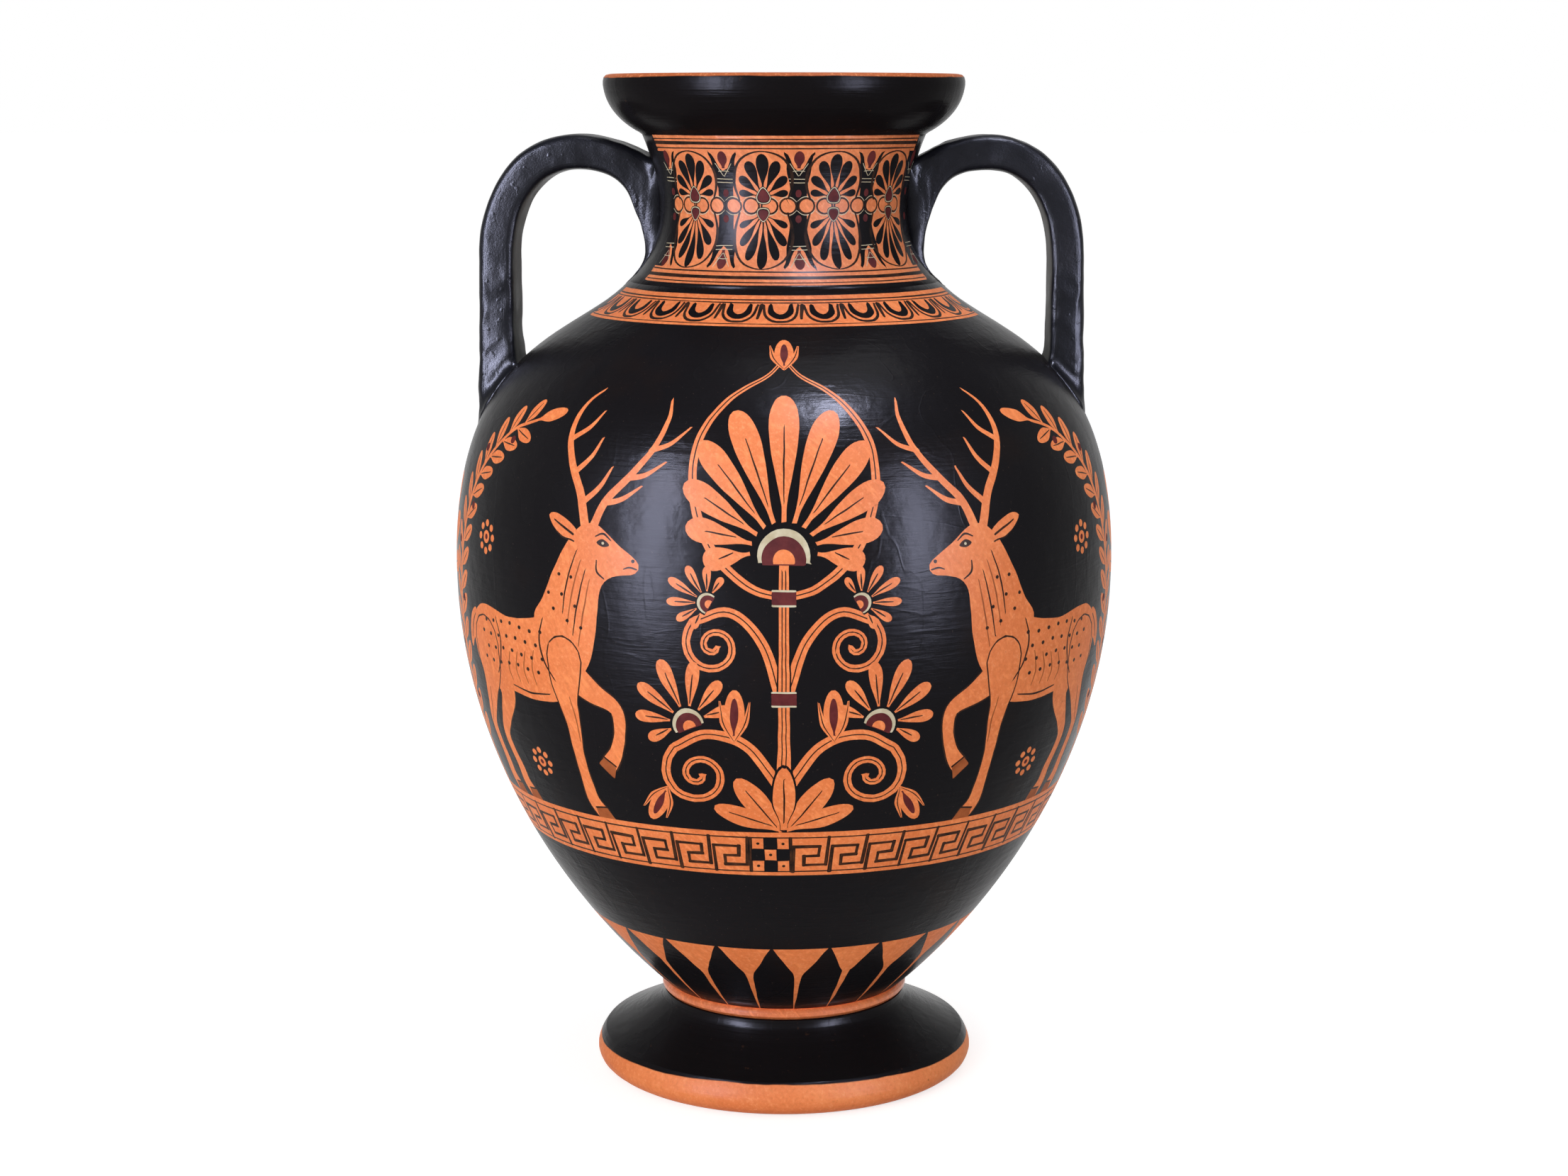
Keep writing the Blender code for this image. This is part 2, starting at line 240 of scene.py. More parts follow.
def rotated(points, angle):
    """Points turned about the origin of a drawing, or about the axis of the vessel."""
    out = np.array(points, float)
    x, y = out[:, 0].copy(), out[:, 1].copy()
    c, d = math.cos(angle), math.sin(angle)
    out[:, 0] = c * x - d * y
    out[:, 1] = d * x + c * y
    return out


def wobbled(points, amount, reach, seed):
    """Points moved a little, as a hand-held brush would."""
    out = np.array(points, float)
    for p in out:
        place = Vector((p[0] / reach, p[1] / reach, seed * 7.31))
        p[0] += amount * noise.noise(place)
        p[1] += amount * noise.noise(place + Vector((31.7, -17.3, 5.9)))
    return out


def resampled(points, step, closed=False):
    """Even points along a path of straight pieces."""
    p = np.array(points, float)
    if closed:
        p = np.vstack([p, p[:1]])
    along = run_lengths(p)
    keep = np.concatenate(([True], np.diff(along) > 1e-9))
    p, along = p[keep], along[keep]
    count = max(2, int(math.ceil(along[-1] / step)) + 1)
    even = np.linspace(0.0, along[-1], count)
    out = np.stack([np.interp(even, along, p[:, k]) for k in (0, 1)], axis=1)
    return out[:-1] if closed else out


def spline(points, step=0.6, closed=False):
    """Rounded curve through a few points."""
    p = np.array(points, float)
    if closed:
        p = np.vstack([p[-1:], p, p[:2]])
    else:
        p = np.vstack([2 * p[:1] - p[1:2], p, 2 * p[-1:] - p[-2:-1]])
    out = []
    for i in range(1, len(p) - 2):
        count = max(2, int(np.linalg.norm(p[i + 1] - p[i]) / step) + 1)
        t = np.linspace(0.0, 1.0, count, endpoint=False)[:, None]
        a = 2 * p[i]
        b = p[i + 1] - p[i - 1]
        c = 2 * p[i - 1] - 5 * p[i] + 4 * p[i + 1] - p[i + 2]
        d = 3 * p[i] - p[i - 1] - 3 * p[i + 1] + p[i + 2]
        out.append(0.5 * (a + b * t + c * t ** 2 + d * t ** 3))
    if not closed:
        out.append(p[-2:-1])
    return np.vstack(out)


def stroke(points, widths):
    """Outline of a brush line along points; widths is one number or one per key along it."""
    p = resampled(points, 0.7)
    share = np.linspace(0.0, 1.0, len(p))
    width = np.interp(share, np.linspace(0.0, 1.0, np.size(widths)), np.atleast_1d(widths))
    tangent = np.gradient(p, axis=0)
    tangent /= np.maximum(np.linalg.norm(tangent, axis=1), 1e-9)[:, None]
    side = np.stack([-tangent[:, 1], tangent[:, 0]], axis=1) * width[:, None] / 2
    turn = np.linspace(0.0, math.pi, 7)[1:-1, None]
    start = p[0] - side[0] * np.cos(turn) - tangent[0] * width[0] / 2 * np.sin(turn)
    end = p[-1] + side[-1] * np.cos(turn) + tangent[-1] * width[-1] / 2 * np.sin(turn)
    return np.vstack([p + side, end, (p - side)[::-1], start])


def bar(start, end, width, taper=1.0):
    """Outline of one straight pull of the brush, with its corners a little worn."""
    start, end = np.array([start, end], float)
    along = (end - start) / np.linalg.norm(end - start)
    side = sideways(along)
    shape = []
    for place, ahead, wide in ((start, -along, width / 2), (end, along, taper * width / 2)):
        turn = side if ahead is along else -side
        for out, off in ((0.55, 1.0), (1.0, 0.6), (1.0, -0.6), (0.55, -1.0)):
            shape.append(place + ahead * wide * out + turn * wide * off)
    return np.array(shape)


def petal(root, tip, width, belly=0.68, waist=0.12, pinch=1.4):
    """Leaf from root to tip: narrow at its root, widest at the given share of its length."""
    root, tip = np.array([root, tip], float)
    t = 1.0 - np.linspace(1.0, 0.0, 17) ** 1.8
    swell = np.where(t < belly, np.sin(np.clip(t / belly, 0, 1) * math.pi / 2) ** pinch,
                     np.sqrt(np.clip(1 - ((t - belly) / (1 - belly)) ** 2, 0, 1)))
    half = width / 2 * np.maximum(swell, waist * (t < belly))
    axis = tip - root
    across = sideways(axis) / max(np.linalg.norm(axis), 1e-9)
    spine = root + axis * t[:, None]
    return np.vstack([spine + across * half[:, None], (spine - across * half[:, None])[::-1]])


def disc(centre, radius, stretch=1.0, count=16):
    t = np.linspace(0.0, math.tau, count, endpoint=False)
    return np.stack([centre[0] + radius * np.cos(t), centre[1] + radius * stretch * np.sin(t)], axis=1)


class Painting:
    """Painted shapes of one wall, in the order in which they are laid on."""

    def __init__(self, wall, ground):
        self.wall = wall
        self.ground = ground
        self.shapes = []

    def lay(self, outline, paint, exact=False):
        """Add a closed outline of (azimuth, s) points; an exact one keeps its corners."""
        self.shapes.append((np.array(outline, float), paint, exact))

    def band(self, top, bottom, paint, start=-math.pi, end=math.pi, sway=0.18, seed=1.0):
        """Strip between two distances down the wall, all round or between two azimuths."""
        radius = float(self.wall.radius_mm((top + bottom) / 2))
        count = max(8, int((end - start) * radius / OUTLINE_STEP_MM))
        phi = np.linspace(start, end, count)
        edges = []
        for k, level in enumerate((top, bottom)):
            shift, fine = (np.array([noise.noise(Vector((*heading(f) * reach, grain))) for f in phi])
                           for reach, grain in ((3, seed + 9.7 * k), (14, seed - 5.1 * k)))
            edges.append(np.stack([phi, level + sway * shift + 0.5 * sway * fine], axis=1))
        self.lay(np.vstack([edges[0], edges[1][::-1]]), paint)

    def line(self, height, width, start=-math.pi, end=math.pi, sway=0.18, seed=1.0):
        """Brush line along the wall at a height in metres."""
        s = self.wall.down_at(height)
        self.band(s - width / 2, s + width / 2, LINE, start, end, sway, seed)

    def draw(self, points, paint, phi, s, scale=1.0, flip=1.0, seed=0.0, exact=False):
        """Lay a motif given in millimetres, x to the right and y up, about a place on the wall."""
        p = np.array(points, float) * scale
        p[:, 0] *= flip
        p = wobbled(p, HAND_WOBBLE, HAND_REACH, seed + phi * 13.0 + s * 0.7)
        down = s - p[:, 1]
        around = phi + p[:, 0] / self.wall.radius_mm(np.clip(down, 0.0, self.wall.length))
        self.lay(np.stack([around, down], axis=1), paint, exact)

    def draw_all(self, shapes, phi, s, scale=1.0, flip=1.0, seed=0.0):
        for points, paint in shapes:
            self.draw(points, paint, phi, s, scale, flip, seed)

    def mesh_arrays(self):
        """Triangles of the painted wall: azimuth and s of each vertex, corners and paints."""
        wall = self.wall
        unit = 100.0
        edge_x = math.pi * unit
        ring = np.linspace(-math.pi, math.pi, AROUND + 1) * unit
        rows = max(2, int(wall.length / WALL_GRID_MM))
        levels = np.linspace(0.0, wall.length, rows + 1)
        points = []
        edges = []

        def chain(p, closed):
            base = len(points)
            points.extend(map(tuple, p))
            edges.extend((base + i, base + i + 1) for i in range(len(p) - 1))
            if closed:
                edges.append((base + len(p) - 1, base))

        border = [(x, 0.0) for x in ring[:-1]]
        border += [(edge_x, y) for y in levels[:-1]]
        border += [(x, wall.length) for x in ring[:0:-1]]
        border += [(-edge_x, y) for y in levels[:0:-1]]
        chain(border, True)
        for k, level in enumerate(levels[1:-1]):
            count = max(24, int(math.tau * wall.radius_mm(level) / WALL_GRID_MM))
            shift = 0.5 if k % 2 else 0.0
            x = -edge_x + (np.arange(count) + 0.25 + shift) * 2 * edge_x / count
            points.extend((float(v), float(level)) for v in x if abs(v) < edge_x - 1.0)

        copies = []
        for outline, paint, exact in self.shapes:
            spans_ring = np.ptp(outline[:, 0]) > math.tau - 1e-6
            flat = outline * (unit, 1.0)
            for turn in (0.0,) if spans_ring else (-1.0, 0.0, 1.0):
                moved = flat + (turn * 2 * edge_x, 0.0)
                if moved[:, 0].max() < -edge_x or moved[:, 0].min() > edge_x:
                    continue
                copies.append((moved, paint, exact))
        for moved, _, exact in copies:
            if exact:
                chain(moved, True)
                continue
            radius = float(wall.radius_mm(np.clip(moved[:, 1].mean(), 0.0, wall.length)))
            scaled = moved * (radius / unit, 1.0)
            girth = np.linalg.norm(np.diff(scaled, axis=0), axis=1).sum()
            step = min(max(girth / OUTLINE_POINTS, FINE_STEP_MM), OUTLINE_STEP_MM)
            chain(resampled(scaled, step, closed=True) * (unit / radius, 1.0), True)

        result = delaunay_2d_cdt([Vector(p) for p in points], edges, [], 0, 1e-4, False)
        flat = np.array([v[:] for v in result[0]], float)
        corners = np.array([f[:] for f in result[2]], int)
        middle = flat[corners].mean(axis=1)
        inside = (np.abs(middle[:, 0]) < edge_x) & (middle[:, 1] > 0.0) & (middle[:, 1] < wall.length)
        corners, middle = corners[inside], middle[inside]
        paints = np.full(len(corners), self.ground)
        order = np.argsort(middle[:, 0])
        sorted_x = middle[order, 0]
        for moved, paint, _ in copies:
            low, high = np.searchsorted(sorted_x, (moved[:, 0].min(), moved[:, 0].max()))
            near = order[low:high]
            y = middle[near, 1]
            near = near[(y > moved[:, 1].min()) & (y < moved[:, 1].max())]
            if len(near):
                paints[near[wound(moved, middle[near])]] = paint
        flat[:, 0] = np.clip(flat[:, 0] / unit, -math.pi, math.pi)
        return flat, corners, paints


def wound(outline, points):
    """Which points lie inside an outline, by its winding number."""
    turns = np.zeros(len(points), int)
    x, y = points[:, 0], points[:, 1]
    for a, b in zip(outline, np.roll(outline, -1, axis=0)):
        if a[1] == b[1]:
            continue
        side = (b[0] - a[0]) * (y - a[1]) - (x - a[0]) * (b[1] - a[1])
        turns += (a[1] <= y) & (b[1] > y) & (side > 0)
        turns -= (a[1] > y) & (b[1] <= y) & (side < 0)
    return turns != 0


# Meshes
def ring_faces(rings):
    """Faces between rings of vertex numbers; a ring drawn in to one point gives triangles."""
    faces = []
    for upper, lower in zip(rings, rings[1:]):
        for i in range(len(upper)):
            j = (i + 1) % len(upper)
            corners = list(dict.fromkeys((upper[i], lower[i], lower[j], upper[j])))
            if len(corners) > 2:
                faces.append(corners)
    return faces


def revolved(path):
    """Vertices and faces of a path of (radius, height) points spun about the axis."""
    vertices = []
    rings = []
    angles = np.linspace(-math.pi, math.pi, AROUND, endpoint=False)
    for r, z in path:
        base = len(vertices)
        if r < 1e-7:
            rings.append([base] * AROUND)
            vertices.append((0.0, 0.0, z))
        else:
            rings.append(list(range(base, base + AROUND)))
            vertices.extend((r * math.sin(a), -r * math.cos(a), z) for a in angles)
    return vertices, ring_faces(rings)


def spin_section(path, closed, step, vertices, faces):
    """Spin a section, run by run between its corners, and add it to lists of vertices and faces."""
    for run in smooth_runs(path, closed):
        v, f = revolved(curve_through(run, step))
        faces.extend([i + len(vertices) for i in face] for face in f)
        vertices.extend(v)


def link_object(name, data):
    item = bpy.data.objects.new(name, data)
    bpy.context.scene.collection.objects.link(item)
    return item


def add_object(name, vertices, faces, materials, indices=None):
    """A smooth mesh in the scene, with its materials and, if given, one slot index per face."""
    mesh = bpy.data.meshes.new(name)
    mesh.from_pydata([tuple(v) for v in vertices], [], [tuple(f) for f in faces])
    for material in materials:
        mesh.materials.append(material)
    if indices is not None:
        mesh.polygons.foreach_set("material_index", np.asarray(indices, np.int32))
    mesh.shade_smooth()
    return link_object(name, mesh)


def turned_piece(name, nodes, path, closed, material):
    """A turned solid with smooth runs between the corners of its section."""
    vertices = []
    faces = []
    spin_section(path, closed, PROFILE_STEP, vertices, faces)
    item = add_object(name, vertices, faces, [material])
    weld(item)
    item.data.set_sharp_from_angle(angle=CORNER_ANGLE)
    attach(item, "root")
    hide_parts(*nodes)


def weld(item):
    """Join the runs of a piece, splitting open edges where a neighbour's corner lies on them."""
    shape = bmesh.new()
    shape.from_mesh(item.data)
    bmesh.ops.remove_doubles(shape, verts=shape.verts, dist=WELD_DISTANCE)
    open_edges = [edge for edge in shape.edges if edge.is_boundary]
    corners = list(dict.fromkeys(vertex for edge in open_edges for vertex in edge.verts))
    for edge in open_edges:
        start, end = edge.verts
        origin = start.co.copy()
        along = end.co - origin
        stops = []
        for corner in corners:
            part = (corner.co - origin).dot(along) / along.length_squared
            if 0.0 < part < 1.0 and corner not in (start, end):
                if (origin + along * part - corner.co).length < WELD_REACH:
                    stops.append((part, corner.co.copy()))
        done = 0.0
        for part, place in sorted(stops, key=lambda stop: stop[0]):
            _, start = bmesh.utils.edge_split(edge, start, (part - done) / (1.0 - done))
            start.co = place
            done = part
    bmesh.ops.remove_doubles(shape, verts=shape.verts, dist=WELD_DISTANCE)
    bmesh.ops.recalc_face_normals(shape, faces=shape.faces)
    shape.to_mesh(item.data)
    shape.free()


def vertex_places(mesh):
    place = np.empty(len(mesh.vertices) * 3)
    mesh.vertices.foreach_get("co", place)
    return place.reshape(-1, 3)


def painted_piece(name, nodes, painting, rest, materials, inside_paint):
    """A painted wall closed by the rest of its section into one solid."""
    wall = painting.wall
    flat, corners, paints = painting.mesh_arrays()
    vertices = list(wall.point(flat[:, 0], flat[:, 1]))
    faces = list(corners)
    for path in rest:
        spin_section(path, False, INSIDE_STEP, vertices, faces)
    indices = list(paints) + [inside_paint] * (len(faces) - len(paints))
    item = add_object(name, vertices, faces, materials, indices)
    weld(item)
    mesh = item.data
    mesh.set_sharp_from_angle(angle=CORNER_ANGLE)
    place = vertex_places(mesh)
    radius = np.hypot(place[:, 0], place[:, 1])
    s = np.interp(-place[:, 2], -wall.z, wall.s)
    on_wall = np.abs(radius - np.interp(s, wall.s, wall.r)) < ON_WALL
    on_wall &= (place[:, 2] < wall.z[0] - WALL_RIM) & (place[:, 2] > wall.z[-1] + WALL_RIM)
    normals = wall.normal(np.arctan2(place[:, 0], -place[:, 1]), s)
    normals[~on_wall] = 0.0
    mesh.normals_split_custom_set_from_vertices(normals.tolist())
    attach(item, "root")
    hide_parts(*nodes)


# Materials
SLIP_RELIEF = 0.0010
SLIP_WAVER = 0.0011
SLIP_EDGE = 0.00018


class Nodes:
    """Short hand for building the node tree of a material or a world."""

    def __init__(self, owner):
        owner.use_nodes = True
        self.owner = owner
        self.tree = owner.node_tree
        self.shader = self.tree.nodes.get("Principled BSDF")
        self.coordinates = self.add("ShaderNodeTexCoord").outputs

    def add(self, kind, inputs=None, **settings):
        """A node with its settings made and some of its inputs fed."""
        node = self.tree.nodes.new(kind)
        for key, value in settings.items():
            setattr(node, key, value)
        for key, value in (inputs or {}).items():
            self.feed(node.inputs[key], value)
        return node

    def feed(self, socket, value):
        """Link an output to a socket, or set the socket to a number, a vector or a colour."""
        if isinstance(value, bpy.types.NodeSocket):
            self.tree.links.new(value, socket)
        else:
            socket.default_value = (*value, 1.0) if socket.type == "RGBA" else value

    def noise(self, scale, detail=4.0, roughness=0.55, stretch=None, turn=None, source=None):
        source = source or self.coordinates["Object"]
        for key, value in (("Rotation", turn), ("Scale", stretch)):
            if value:
                source = self.add("ShaderNodeMapping", {key: value, "Vector": source}).outputs["Vector"]
        values = {"Scale": scale, "Detail": detail, "Roughness": roughness, "Vector": source}
        return self.add("ShaderNodeTexNoise", values).outputs["Fac"]

    def ramp(self, source, *stops):
        """A colour between two stops, each of them a place and a colour."""
        node = self.add("ShaderNodeValToRGB", {"Fac": source})
        for element, (place, colour) in zip(node.color_ramp.elements, stops):
            element.position = place
            element.color = (*colour, 1.0)
        return node.outputs["Color"]

    def grey(self, source, low, high, start=0.0, end=1.0):
        """A value moved from the range start to end into the range low to high."""
        values = {"Value": source, "From Min": start, "From Max": end, "To Min": low, "To Max": high}
        return self.add("ShaderNodeMapRange", values).outputs["Result"]

    def maths(self, operation, *values):
        return self.add("ShaderNodeMath", dict(enumerate(values)), operation=operation).outputs[0]

    def total(self, *values):
        result = values[0]
        for value in values[1:]:
            result = self.maths("ADD", result, value)
        return result

    def mix(self, factor, a, b):
        return self.add("ShaderNodeMix", {0: factor, 6: a, 7: b}, data_type="RGBA").outputs[2]

    def split(self, source):
        return self.add("ShaderNodeSeparateXYZ", {"Vector": source}).outputs

    def bump(self, height, strength, distance):
        node = self.add("ShaderNodeBump", {"Strength": strength, "Distance": distance, "Height": height})
        self.feed(self.shader.inputs["Normal"], node.outputs["Normal"])

    def set(self, **values):
        """Feed the shader's inputs by name, with a low line in place of a space."""
        for key, value in values.items():
            self.feed(self.shader.inputs[key.replace("_", " ")], value)


def material_nodes(name):
    return Nodes(bpy.data.materials.new(name))


def shade(colour, factor):
    return tuple(min(1.0, factor * v) for v in colour)


def clay_colour(n, pale, deep, flecks=1.0):
    """Mottled clay with a fine grain and brush streaks round the vessel."""
    cloud = n.noise(16.0)
    streak = n.noise(46.0, 4.0, 0.6, stretch=(0.35, 0.35, 4.0))
    grain = n.noise(620.0, 3.0, 0.75)
    spots = n.noise(300.0, 2.0, 0.5)
    colour = n.ramp(cloud, (0.30, deep), (0.70, pale))
    colour = n.mix(n.grey(streak, 0.0, 0.40, 0.50, 0.75), colour, deep)
    colour = n.mix(n.grey(grain, 0.30, 0.0, 0.30, 0.48), colour, shade(deep, 0.70))
    colour = n.mix(n.grey(grain, 0.0, 0.50, 0.54, 0.72), colour, (1.0, 0.44, 0.20))
    brush = n.noise(420.0, 2.0, 0.6, stretch=(1.0, 1.0, 0.13), turn=(0.0, 0.7, 0.0))
    colour = n.mix(n.grey(brush, 0.0, 0.55 * flecks, 0.54, 0.68), colour, shade(pale, 1.28))
    colour = n.mix(n.grey(brush, 0.26 * flecks, 0.0, 0.30, 0.44), colour, shade(deep, 0.80))
    return n.mix(n.grey(spots, 0.45, 0.0, 0.20, 0.27), colour, (0.30, 0.070, 0.022)), grain


def clay_material(name, pale, deep, rough, ior):
    """Bare fired clay between a pale and a deep colour."""
    n = material_nodes(name)
    colour, grain = clay_colour(n, pale, deep)
    n.set(Base_Color=colour, Roughness=rough, IOR=ior)
    n.bump(grain, 0.10, 0.0004)
    return n.owner


def slip_relief(n, strength, rings=False):
    """Brush strokes round the vessel, edges where they overlap, soft lumps and, if asked, turning rings."""
    streak = n.noise(260.0, 4.0, 0.6, stretch=(0.16, 0.16, 2.0))
    lumps = n.noise(110.0, 4.0, 0.5)
    relief = n.total(n.grey(streak, 0.0, 0.50), n.grey(lumps, 0.0, 0.85))
    for stretch, width in (((0.5, 0.5, 1.9), 0.016), ((1.7, 1.7, 0.45), 0.013)):
        seam = n.noise(20.0, 2.5, 0.5, stretch=stretch)
        ridge = n.maths("ABSOLUTE", n.maths("SUBTRACT", seam, 0.5))
        relief = n.total(relief, n.grey(ridge, 0.10, 0.0, 0.0, width))
    if rings:
        turning = n.noise(420.0, 2.0, 0.5, stretch=(0.02, 0.02, 1.0))
        relief = n.total(relief, n.grey(turning, 0.0, 1.1))
    n.bump(relief, strength, SLIP_RELIEF)


def body_slip():
    """Black gloss with warmer patches where the coat is thin, and dust in its pits."""
    n = material_nodes("black gloss slip of the body")
    cloud = n.noise(9.0, 3.0)
    pits = n.noise(1100.0, 1.0, 0.3)
    thin = n.grey(n.noise(22.0), 0.0, 0.5, 0.55, 0.8)
    colour = n.mix(thin, (0.0082, 0.0074, 0.0086), (0.017, 0.0095, 0.0070))
    colour = n.mix(n.grey(pits, 0.0, 0.5, 0.74, 0.82), colour, (0.060, 0.040, 0.032))
    n.set(Base_Color=colour, Roughness=n.grey(cloud, 0.20, 0.34, 0.3, 0.7), IOR=1.09)
    slip_relief(n, 0.32)
    return n.owner


def flat_paint(name, dark, light, rough, scale=160.0):
    """A thin paint that varies between two colours."""
    n = material_nodes(name)
    colour = n.ramp(n.noise(scale, 3.0, 0.6), (0.34, dark), (0.66, light))
    n.set(Base_Color=colour, Roughness=rough, IOR=1.10)
    n.bump(n.noise(700.0, 2.0), 0.10, 0.0003)
    return n.owner


CLAY_BODY = clay_material("bare clay of the body", (0.90, 0.260, 0.088), (0.78, 0.200, 0.060), 0.45, 1.12)
SLIP_BODY = body_slip()
RELIEF = flat_paint("relief line", (0.010, 0.007, 0.006), (0.048, 0.022, 0.013), 0.36)
DILUTE = flat_paint("dilute wash", (0.30, 0.075, 0.022), (0.42, 0.115, 0.036), 0.5)
ADDED_RED = flat_paint("added red", (0.085, 0.012, 0.012), (0.135, 0.022, 0.020), 0.62)
ADDED_CREAM = flat_paint("added cream", (0.50, 0.42, 0.27), (0.66, 0.60, 0.45), 0.6)
# The neck's clay is a separate copy of the body's clay, slightly darker in its deep tone: painted shade under
# the mouth.
CLAY_NECK_PAINTED_SHADE = clay_material("bare clay of the neck, with painted shade under the mouth", (0.86, 0.268, 0.102), (0.71, 0.193, 0.063), 0.45, 1.14)
CLAY_FILLET = clay_material("bare clay of the fillet", (0.86, 0.235, 0.076), (0.62, 0.140, 0.040), 0.30, 1.35)
THIN_SLIP = flat_paint("thin slip", (0.018, 0.009, 0.006), (0.082, 0.030, 0.014), 0.40, 260.0)
WALL_PAINTS = [CLAY_BODY, SLIP_BODY, RELIEF, DILUTE, ADDED_RED, ADDED_CREAM, THIN_SLIP]


def edged_slip(name, edge_height, above_is_black, side_drop, pale, deep, ior):
    """Black slip that ends at a height in a hand-drawn edge, with bare clay beyond it."""
    n = material_nodes(name)
    x, y, z = n.split(n.coordinates["Object"])
    waver = n.grey(n.noise(26.0, 3.0), -SLIP_WAVER, SLIP_WAVER)
    across = n.maths("SUBTRACT", n.maths("MULTIPLY", x, x), n.maths("MULTIPLY", y, y))
    level = n.total(z, waver, n.maths("MULTIPLY", across, side_drop))
    ends = (0.0, 1.0) if above_is_black else (1.0, 0.0)
    black = n.grey(level, *ends, edge_height - SLIP_EDGE, edge_height + SLIP_EDGE)
    clay, _ = clay_colour(n, pale, deep, 0.3)
    worn = n.grey(n.noise(240.0, 3.0, 0.7), 0.0, 1.0, 0.66, 0.72)
    slip = n.mix(worn, (0.0070, 0.0060, 0.0066), (0.026, 0.013, 0.009))
    n.set(Base_Color=n.mix(black, clay, slip), Roughness=n.grey(black, 0.44, 0.27), IOR=ior)
    slip_relief(n, 0.26, True)
    return n.owner


def handle_slip():
    """Slip of the handles: strokes along the strap, and a duller, thinner coat inside it."""
    n = material_nodes("black gloss slip of the handles")
    strap = n.add("ShaderNodeAttribute", attribute_name="strap").outputs["Vector"]
    patch = n.noise(60.0, 4.0, 0.6)
    inside = n.maths("MULTIPLY", n.split(strap)["Z"], n.grey(patch, 0.55, 1.0, 0.35, 0.6))
    worn = n.grey(patch, 0.0, 0.6, 0.55, 0.75)
    colour = n.mix(worn, (0.0072, 0.0074, 0.0106), (0.0110, 0.0104, 0.0124))
    rough = n.total(n.grey(patch, 0.27, 0.37, 0.3, 0.7), n.maths("MULTIPLY", inside, 0.3))
    n.set(Base_Color=n.mix(inside, colour, (0.150, 0.152, 0.138)), Roughness=rough, IOR=1.155)
    streak = n.noise(1.0, 4.0, 0.6, stretch=(38.0, 460.0, 1.0), source=strap)
    lumps = n.noise(130.0, 4.0, 0.55)
    specks = n.grey(n.noise(300.0, 1.0, 0.4), 0.0, 0.50, 0.68, 0.80)
    grain = n.grey(n.noise(1300.0, 2.0, 0.5), 0.0, 0.25)
    relief = n.total(n.grey(streak, 0.0, 0.55), lumps, n.total(specks, grain))
    n.bump(relief, 0.27, SLIP_RELIEF)
    return n.owner


# The clay of the lip is far darker than the body's clay: painted shade on the top-facing lip, which the lamps
# light strongly.
MOUTH_SLIP_WITH_PAINTED_SHADE = edged_slip("gloss of the mouth, lip clay darkened as painted shade", 0.4486, False, 0.0,
                        (0.50, 0.142, 0.054), (0.39, 0.099, 0.033), 1.065)
# The clay of the foot's edge is paler than the body's clay: painted light on the lower edge, which the lamps
# light weakly.
FOOT_SLIP_WITH_PAINTED_LIGHT = edged_slip("gloss of the foot, edge clay paled as painted light", 0.0140, True, 0.176,
                       (0.98, 0.315, 0.116), (0.80, 0.212, 0.068), 1.10)
SLIP_HANDLE = handle_slip()


# Walls and the levels of their bands
NECK_BAND = (0.4243, 0.3618)
NECK_FIELD = (0.4172, 0.3680)
NECK_CHAIN = 0.3945
NECK_LINES = ((0.4225, 0.5, 1.0), (0.4208, 1.5, 2.0), (0.4186, 0.6, 3.0),
              (0.3671, 0.7, 4.0), (0.3648, 1.7, 5.0), (0.3628, 0.6, 6.0))
TONGUE_BAND = (0.3579, 0.3460)
TONGUE_ROW = (0.3541, 0.3478)
TONGUE_LINES = ((0.3561, 0.8, 1.0), (0.3550, 0.6, 2.0), (0.3470, 0.6, 3.0))
MEANDER_BAND = (0.1405, 0.1193)
MEANDER_ROW = (0.1379, 0.1213)
RAY_TIP = 0.0790
RAY_SHOULDER = 0.0640
neck_run, shoulder_run, belly_run = (outer_run(node) for node in ("neck", "shoulder", "belly"))
neck_points, shoulder_points, belly_points = (sorted(run, key=lambda p: -p[1])
                                              for run in (neck_run, shoulder_run, belly_run))
collar = shoulder_points[0]
neck_points[-1] = collar
NECK = Wall(neck_points)
BODY = Wall(shoulder_points[:-1] + belly_points)


def paint_neck():
    """Double palmettes and lotus columns either side of a ring chain, front and back."""
    art = Painting(NECK, SLIP)
    at = NECK.down_at
    pitch = radians(32.7)
    chain = at(NECK_CHAIN)
    field = [at(level) for level in NECK_FIELD]
    for side in (0.0, math.pi):
        left = side + radians(-65.5)
        right = side + radians(70.0)
        art.band(*map(at, NECK_BAND), CLAY, left, right, seed=2.0 + side)
        for level, width, seed in NECK_LINES:
            art.line(level, width, left, right, 0.16, seed + side)
        art.band(*field, SLIP, left - 0.02, left + radians(6.0), 0.16, 8.0 + side)
        art.band(*field, SLIP, right - radians(4.5), right + 0.02, 0.16, 8.0 + side)
        first = side + radians(-9.5) - pitch
        for k in range(5):
            lotus_column(art, first + (k - 0.5) * pitch - radians(0.5), chain)
        for k in range(18):
            x = first - pitch / 2 + (k - 0.62) * pitch / 4
            if left + 0.06 < x < right - 0.06:
                chain_ring(art, x, chain)
        for k, drift in enumerate((-1.2, 0.4, -0.8, -1.4)):
            palmette_unit(art, first + k * pitch + radians(drift), chain)
    return art


